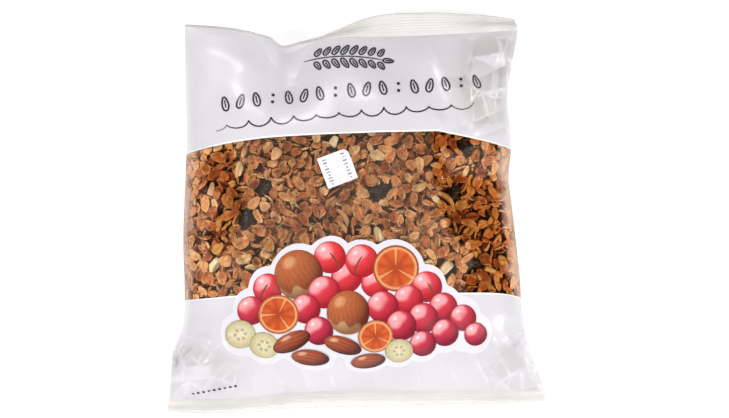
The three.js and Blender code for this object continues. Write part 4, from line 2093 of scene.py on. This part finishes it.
CHERRY, HAZELNUT, ORANGE, BANANA, DATE = MotifKind
STILL_LIFE = (
    Motif(CHERRY, -48, -44, 8.2, 8.2),
    Motif(CHERRY, -5, -38, 8.4, 8.4),
    Motif(CHERRY, 11, -41, 8.0, 8.0),
    Motif(CHERRY, -14, -27, 8.8, 8.8),
    Motif(CHERRY, 3.5, -29, 9.0, 9.0),
    Motif(ORANGE, 22, -33, 12.6, 12.6, 15),
    Motif(HAZELNUT, -31, -36.5, 13.2, 13.6, 12),
    Motif(CHERRY, 39, -43, 8.4, 8.4),
    Motif(CHERRY, 29, -50, 8.0, 8.0),
    Motif(CHERRY, -57, -56, 7.8, 7.8),
    Motif(CHERRY, -17, -46, 8.8, 8.8),
    Motif(CHERRY, -27, -55, 8.0, 8.0),
    Motif(CHERRY, 15, -54, 8.6, 8.6),
    Motif(CHERRY, 48, -54, 7.8, 7.8),
    Motif(ORANGE, -42, -58, 11.2, 10.6, -10),
    Motif(CHERRY, 37, -60, 8.2, 8.2),
    Motif(CHERRY, 59, -60, 7.2, 7.2),
    Motif(HAZELNUT, -4, -57, 11.6, 12.0, -8),
    Motif(CHERRY, 25, -64, 8.2, 8.2),
    Motif(CHERRY, -20, -67, 7.8, 7.8),
    Motif(CHERRY, 66, -69, 6.4, 6.4),
    Motif(CHERRY, 49, -68, 7.4, 7.4),
    Motif(BANANA, -63, -69, 8.4, 7.6, 8),
    Motif(ORANGE, 11, -70, 9.6, 8.8, 20),
    Motif(CHERRY, 37, -74, 7.2, 7.2),
    Motif(BANANA, -50, -75, 8.0, 7.2, -12),
    Motif(DATE, -35, -73, 11.0, 5.0, 24),
    Motif(DATE, -7, -75, 10.6, 4.8, -16),
    Motif(BANANA, 24, -78, 7.6, 6.8, 5),
    Motif(DATE, -25, -82, 10.4, 4.6, -6),
    Motif(DATE, 7, -84, 9.6, 4.2, 9),
)


@dataclass
class FrontPrint:
    """The front's print: a still life with a white edge, ornament, and lines along the panels."""

    drape: Drape
    shape: BagShape = field(default_factory=BagShape)
    middle: tuple[float, float] = (-1.0, -56.0)
    border: float = 2.6
    film_gap: float = 0.1
    step: float = 0.014
    dark: Colour = srgb(36, 33, 38)
    white: Colour = srgb(252, 251, 254)
    panel: Colour = srgb(228, 225, 231)

    def _border(self, angles: Array) -> Array:
        """Edge of the still life's white border: the furthest motif's edge each way.

        Args:
            angles: Ways from its middle.

        Returns:
            Offsets from its middle.
        """
        ways = np.stack([np.cos(angles), np.sin(angles)], 1)
        reach = np.full(len(angles), 8.0)
        for motif in STILL_LIFE:
            edge = motif.outline(np.linspace(0, 2 * math.pi, 240), self.border)
            edge += np.array([motif.x, motif.y]) - np.array(self.middle)
            bearing = np.arctan2(edge[:, 1], edge[:, 0])
            distance = np.hypot(edge[:, 0], edge[:, 1])
            for k, way in enumerate(ways):
                off = np.abs((bearing - math.atan2(way[1], way[0]) + math.pi) % (2 * math.pi) - math.pi)
                near = off < 0.035
                if near.any():
                    reach[k] = max(reach[k], (distance * np.cos(off))[near].max())
        return ways * reach[:, None]

    def build_still_life(self) -> None:
        """Makes the white border and the motifs, the nearest last."""

        def plain(u: Array, _: Array) -> Array:
            """One pale colour all over."""
            return np.tile(self.panel, (len(u), 1))

        border = Sheets(self.drape)
        border.blot(self._border, self.middle, 44, 300, self.film_gap, plain)
        ink = InkFinish("white print", 30, 0.01).make()
        finish_piece(border.piece("print_border"), ink, "print_ink")
        motifs = Sheets(self.drape)
        for i, motif in enumerate(STILL_LIFE):
            lift = 2 * self.film_gap + i * self.step
            rings = round(max(motif.wide, motif.high) / 0.75)
            motifs.blot(motif.outline, (motif.x, motif.y), rings, 48, lift, motif.paint)
        stalk = srgb(92, 74, 44)
        for x, y, bow in ((-14, -27, 5), (3.5, -29, -4), (39, -43, 4), (59, -60, -3), (-48, -44, -4)):
            t = np.linspace(0, 1, 12)
            line = np.stack([x + bow * np.sin(1.5 * t), y + 2.5 - 9 * t], 1)
            motifs.stroke(line, 0.8, 2 * self.film_gap + 8 * self.step, stalk)
        ink = InkFinish("fruit print", 900, 0.16).make()
        finish_piece(motifs.piece("print_still_life"), ink, "print_ink")

    def _grain(self, sheets: Sheets, x: float, y: float, long: float, wide: float, turn: float) -> None:
        """Draws the outline of a grain with its furrow.

        Args:
            sheets: What it is added to.
            x: Its middle across.
            y: Its middle along.
            long: Its length.
            wide: Its width.
            turn: Its turn in degrees.
        """
        cos, sin = math.cos(math.radians(turn)), math.sin(math.radians(turn))

        def rotate(a: Array, b: Array) -> Array:
            """Places of the grain, turned and set down."""
            return np.stack([x + a * cos - b * sin, y + a * sin + b * cos], 1)

        t = np.linspace(0, 2 * math.pi, 22, endpoint=False)
        px = 0.5 * wide * np.sin(t) * (1 - 0.25 * np.cos(t))
        py = 0.5 * long * np.cos(t)
        lift = 2 * self.film_gap
        sheets.stroke(rotate(px, py), 0.95, lift, self.dark, closed=True)
        furrow = np.linspace(-0.3, 0.3, 7) * long
        sheets.stroke(rotate(np.zeros(7), furrow), 0.75, lift, self.dark)

    def build_ornament(self) -> None:
        """Makes a row of grains, a waved line under it, a sprig at the head and a short tally."""
        sheets = Sheets(self.drape)
        lift = 2 * self.film_gap
        row = ((-76, 58.5), (-40, 63), (0, 66.5), (40, 69.5), (72, 72.5))
        for i, x in enumerate(np.linspace(-73, 68, 17)):
            y = float(through(row, x))
            if i % 4 == 3:
                for dot in (-2.2, 2.2):
                    t = np.linspace(0, 2 * math.pi, 9, endpoint=False)
                    line = np.stack([x + 0.5 * np.cos(t), y + dot + 0.5 * np.sin(t)], 1)
                    sheets.stroke(line, 0.95, lift, self.dark, closed=True)
            else:
                self._grain(sheets, x, y, 8.2, 3.6, 14 - 28 * (i % 2))
        wave_row = ((-80, 44.5), (-40, 49), (0, 52.5), (40, 55.5), (70, 58))
        x = np.linspace(-78, 66, 260)
        phase = 2 * math.pi * x / 12.5
        swell = 1 + 0.35 * np.sin(2 * math.pi * x / 61)
        wave = np.stack([x + 1.9 * np.cos(phase), through(wave_row, x) + 1.7 * swell * np.sin(phase)], 1)
        sheets.stroke(wave, 0.75, lift, self.dark)
        self._sprig(sheets)
        for i in range(9):
            x0 = -94 + 3.1 * i
            y0 = -104.6 + 0.6 * i
            line = np.stack([np.linspace(x0, x0 + 1.6, 4), np.full(4, y0) + 0.3], 1)
            sheets.stroke(line, 1.3 if i % 3 else 0.8, lift, self.dark)
        ink = InkFinish("dark print", 400, 0.1).make()
        finish_piece(sheets.piece("print_ornament"), ink, "print_ink")

    def _sprig(self, sheets: Sheets) -> None:
        """Draws a lying sprig of oats.

        Args:
            sheets: What it is added to.
        """
        lift = 2 * self.film_gap
        x0, y0 = -7.0, 86.5
        bow = np.linspace(-1, 1, 40)
        stem = np.stack([x0 + 23 * bow, y0 + 1.5 - 2.5 * bow**2], 1)
        sheets.stroke(stem, 0.7, lift, self.dark)
        for i in range(8):
            share = -0.72 + 0.225 * i
            x, y = x0 + 23 * share, y0 + 1.5 - 2.5 * share**2
            long = 7.2 - 2.2 * abs(share)
            self._grain(sheets, x + 1.8, y + 4.4, long, 2.8, -34)
            self._grain(sheets, x + 1.8, y - 4.4, long, 2.8, -146)
        self._grain(sheets, x0 + 25.5, y0 - 1.4, 6.0, 2.6, -98)

    def build_edge_lines(self) -> None:
        """Makes the white lines along the window's edges."""
        sheets = Sheets(self.drape)
        way = np.linspace(-0.97, 0.97, 200)
        for edge, inside in ((self.shape.head_edge, 0.55), (self.shape.foot_edge, -0.45)):
            y = through(edge, way) + inside
            left, right = self.shape.sides(y)
            line = np.stack([left + (right - left) * 0.5 * (way + 1), y], 1)
            sheets.stroke(line, 0.9, self.film_gap, self.white)
        ink = InkFinish("edge print", 30, 0.01).make()
        finish_piece(sheets.piece("print_edge_lines"), ink, "print_ink")

    def build(self) -> None:
        """Makes all of the front's print."""
        self.build_edge_lines()
        self.build_still_life()
        self.build_ornament()


@dataclass
class PriceLabel:
    """A small white paper label on the window, with faint marks."""

    drape: Drape
    side: float = 17.6
    x: float = -9.9
    y: float = 21.8
    turn: float = 21.0
    corner: float = 0.2
    gap: float = 0.3
    thickness: float = 0.12
    steps: int = 24

    def _place(self, u: Array, v: Array) -> tuple[Array, Array]:
        """X and Y of places on the label, -0.5 to 0.5 each way, its upper right corner rounded.

        Args:
            u: Places across.
            v: Places up.

        Returns:
            The places on the film.
        """
        past_u, past_v = np.maximum(0, u - 0.5 + self.corner), np.maximum(0, v - 0.5 + self.corner)
        reach = np.maximum(np.hypot(past_u, past_v), 1e-9)
        pull = np.maximum(past_u, past_v) / reach
        u, v = u - past_u * (1 - pull), v - past_v * (1 - pull)
        across, up = turned(u, v, math.radians(self.turn))
        return self.x + self.side * across, self.y + self.side * up

    def build(self) -> None:
        """Makes the label and its marks."""

        def place(u: Array, v: Array) -> Array:
            """Points of the label: it spans the film's small folds, and one corner curls up."""
            x, y = self._place(u - 0.5, v - 0.5)
            points = self.drape.lay(x, y, self.gap)
            curve = np.polyfit(x - self.x, points[:, 2], 2)
            even = np.polyval(curve, x - self.x)
            curl = 0.9 * np.maximum(0, (0.5 - u) + (v - 0.5) - 0.55) ** 2 * 10
            points[:, 2] = np.maximum(points[:, 2], 0.7 * even + 0.3 * points[:, 2]) + curl
            return points

        label = grid_sheet("price_label_paper", self.steps, self.steps, place)
        select_only(label)
        bpy.ops.object.modifier_add(type="SOLIDIFY")
        label.modifiers[0].thickness = self.thickness * MM
        label.modifiers[0].offset = 1.0
        bpy.ops.object.modifier_apply(modifier=label.modifiers[0].name)
        smooth(label)
        bpy.ops.object.shade_smooth_by_angle(angle=math.radians(40))
        paper = MottledFinish("label paper", srgb(205, 204, 209), srgb(213, 212, 217), 500, 0.01, (0.5, 0.62))
        finish_piece(label, paper.make(), "label_paper", "price_label")
        marks = Sheets(Drape([label]))
        grey = srgb(132, 130, 138)
        for column, rows in ((-0.31, 9), (0.3, 8)):
            for i in range(rows):
                v = -0.4 + 0.78 * i / (rows - 1)
                reach = 0.07 if i % 3 else 0.03
                u = np.linspace(column - reach, column + reach, 5)
                x, y = self._place(u, np.full(5, v))
                marks.stroke(np.stack([x, y], 1), 0.75 if i % 2 else 0.5, 0.04, grey)
        ink = InkFinish("faint print", 700, 0.12).make()
        finish_piece(marks.piece("price_label_marks"), ink, "print_ink")


# ---- The studio ----


@dataclass(frozen=True)
class Studio:
    """A plain pale floor, soft lights and the camera over the bag's front."""

    photo_width: float = 729.0
    pixel: float = 0.58
    lens: float = 50.0
    sensor: float = 36.0
    elevation: float = 86.0
    aim: tuple[float, float, float] = (4.9, 1.7, 12.0)
    floor_side: float = 4.0
    wall_light: float = 0.45
    ceiling_light: float = 0.18
    floor_glow: float = 0.25

    def _floor(self) -> None:
        """Lays the floor."""
        nothing_selected()
        bpy.ops.mesh.primitive_plane_add(size=self.floor_side, location=(0, 0, -0.0002))
        floor = bpy.context.object
        floor.name = "floor"
        sh = Shading("floor")
        tint = sh.ramp(sh.noise(3, 2), (0.3, srgb(250, 250, 250)), (0.7, srgb(247, 247, 248)))
        glow = {"Emission Color": tint, "Emission Strength": self.floor_glow}
        floor.data.materials.append(sh.principled({"Base Color": tint, "Roughness": 0.6, **glow}))

    def _lamp(self, name: str, place: tuple[float, float, float], size: float, power: float) -> None:
        """Hangs a square softbox, in metres, aimed at the bag.

        Args:
            name: Its name.
            place: Where it hangs.
            size: Length of its sides.
            power: Its power in watts.
        """
        light = bpy.data.lights.new(name, "AREA")
        light.shape = "SQUARE"
        light.size = size
        light.energy = power
        lamp = bpy.data.objects.new(name, light)
        lamp.location = place
        lamp.rotation_euler = (-Vector(place)).to_track_quat("-Z", "Y").to_euler()
        bpy.context.collection.objects.link(lamp)

    def _camera(self) -> None:
        """Puts the camera where the photograph was taken from."""
        distance = self.photo_width * self.pixel / self.sensor * self.lens * MM
        tilt = math.radians(self.elevation)
        back = Vector((0, -math.cos(tilt), math.sin(tilt)))
        data = bpy.data.cameras.new("camera")
        data.lens = self.lens
        data.sensor_width = self.sensor
        data.clip_start = 0.02
        camera = bpy.data.objects.new("camera", data)
        camera.location = Vector(self.aim) * MM + back * distance
        camera.rotation_euler = (-back).to_track_quat("-Z", "Y").to_euler()
        bpy.context.collection.objects.link(camera)
        bpy.context.scene.camera = camera

    def build(self) -> None:
        """Sets up the studio."""
        self._floor()
        self._lamp("left softbox", (-1.25, -0.72, 1.05), 0.4, 19.0)
        self._lamp("right softbox", (1.25, -0.66, 1.05), 0.4, 28.0)
        self._lamp("head softbox", (-0.5, 1.3, 1.25), 0.5, 18.5)
        world = bpy.data.worlds.new("studio")
        world.use_nodes = True
        nodes, links = world.node_tree.nodes, world.node_tree.links
        way = nodes.new("ShaderNodeTexCoord")
        split = nodes.new("ShaderNodeSeparateXYZ")
        fade = nodes.new("ShaderNodeMapRange")
        fade.inputs["From Min"].default_value = 0.35
        fade.inputs["From Max"].default_value = 0.95
        fade.inputs["To Min"].default_value = self.wall_light
        fade.inputs["To Max"].default_value = self.ceiling_light
        links.new(way.outputs["Generated"], split.inputs[0])
        links.new(split.outputs["Z"], fade.inputs["Value"])
        links.new(fade.outputs["Result"], nodes["Background"].inputs["Strength"])
        nodes["Background"].inputs["Color"].default_value = (1, 1, 1, 1)
        scene = bpy.context.scene
        scene.world = world
        scene.view_settings.view_transform = "Standard"
        scene.cycles.use_denoising = True
        self._camera()


def main() -> None:
    """Builds the studio, the film and the granola."""
    logging.basicConfig(level=logging.INFO, format="%(name)s: %(message)s")
    Studio().build()
    film = Drape(FilmBag().build())
    FrontPrint(film).build()
    PriceLabel(film).build()
    GranolaFill().build()


if __name__ == "__main__":
    main()
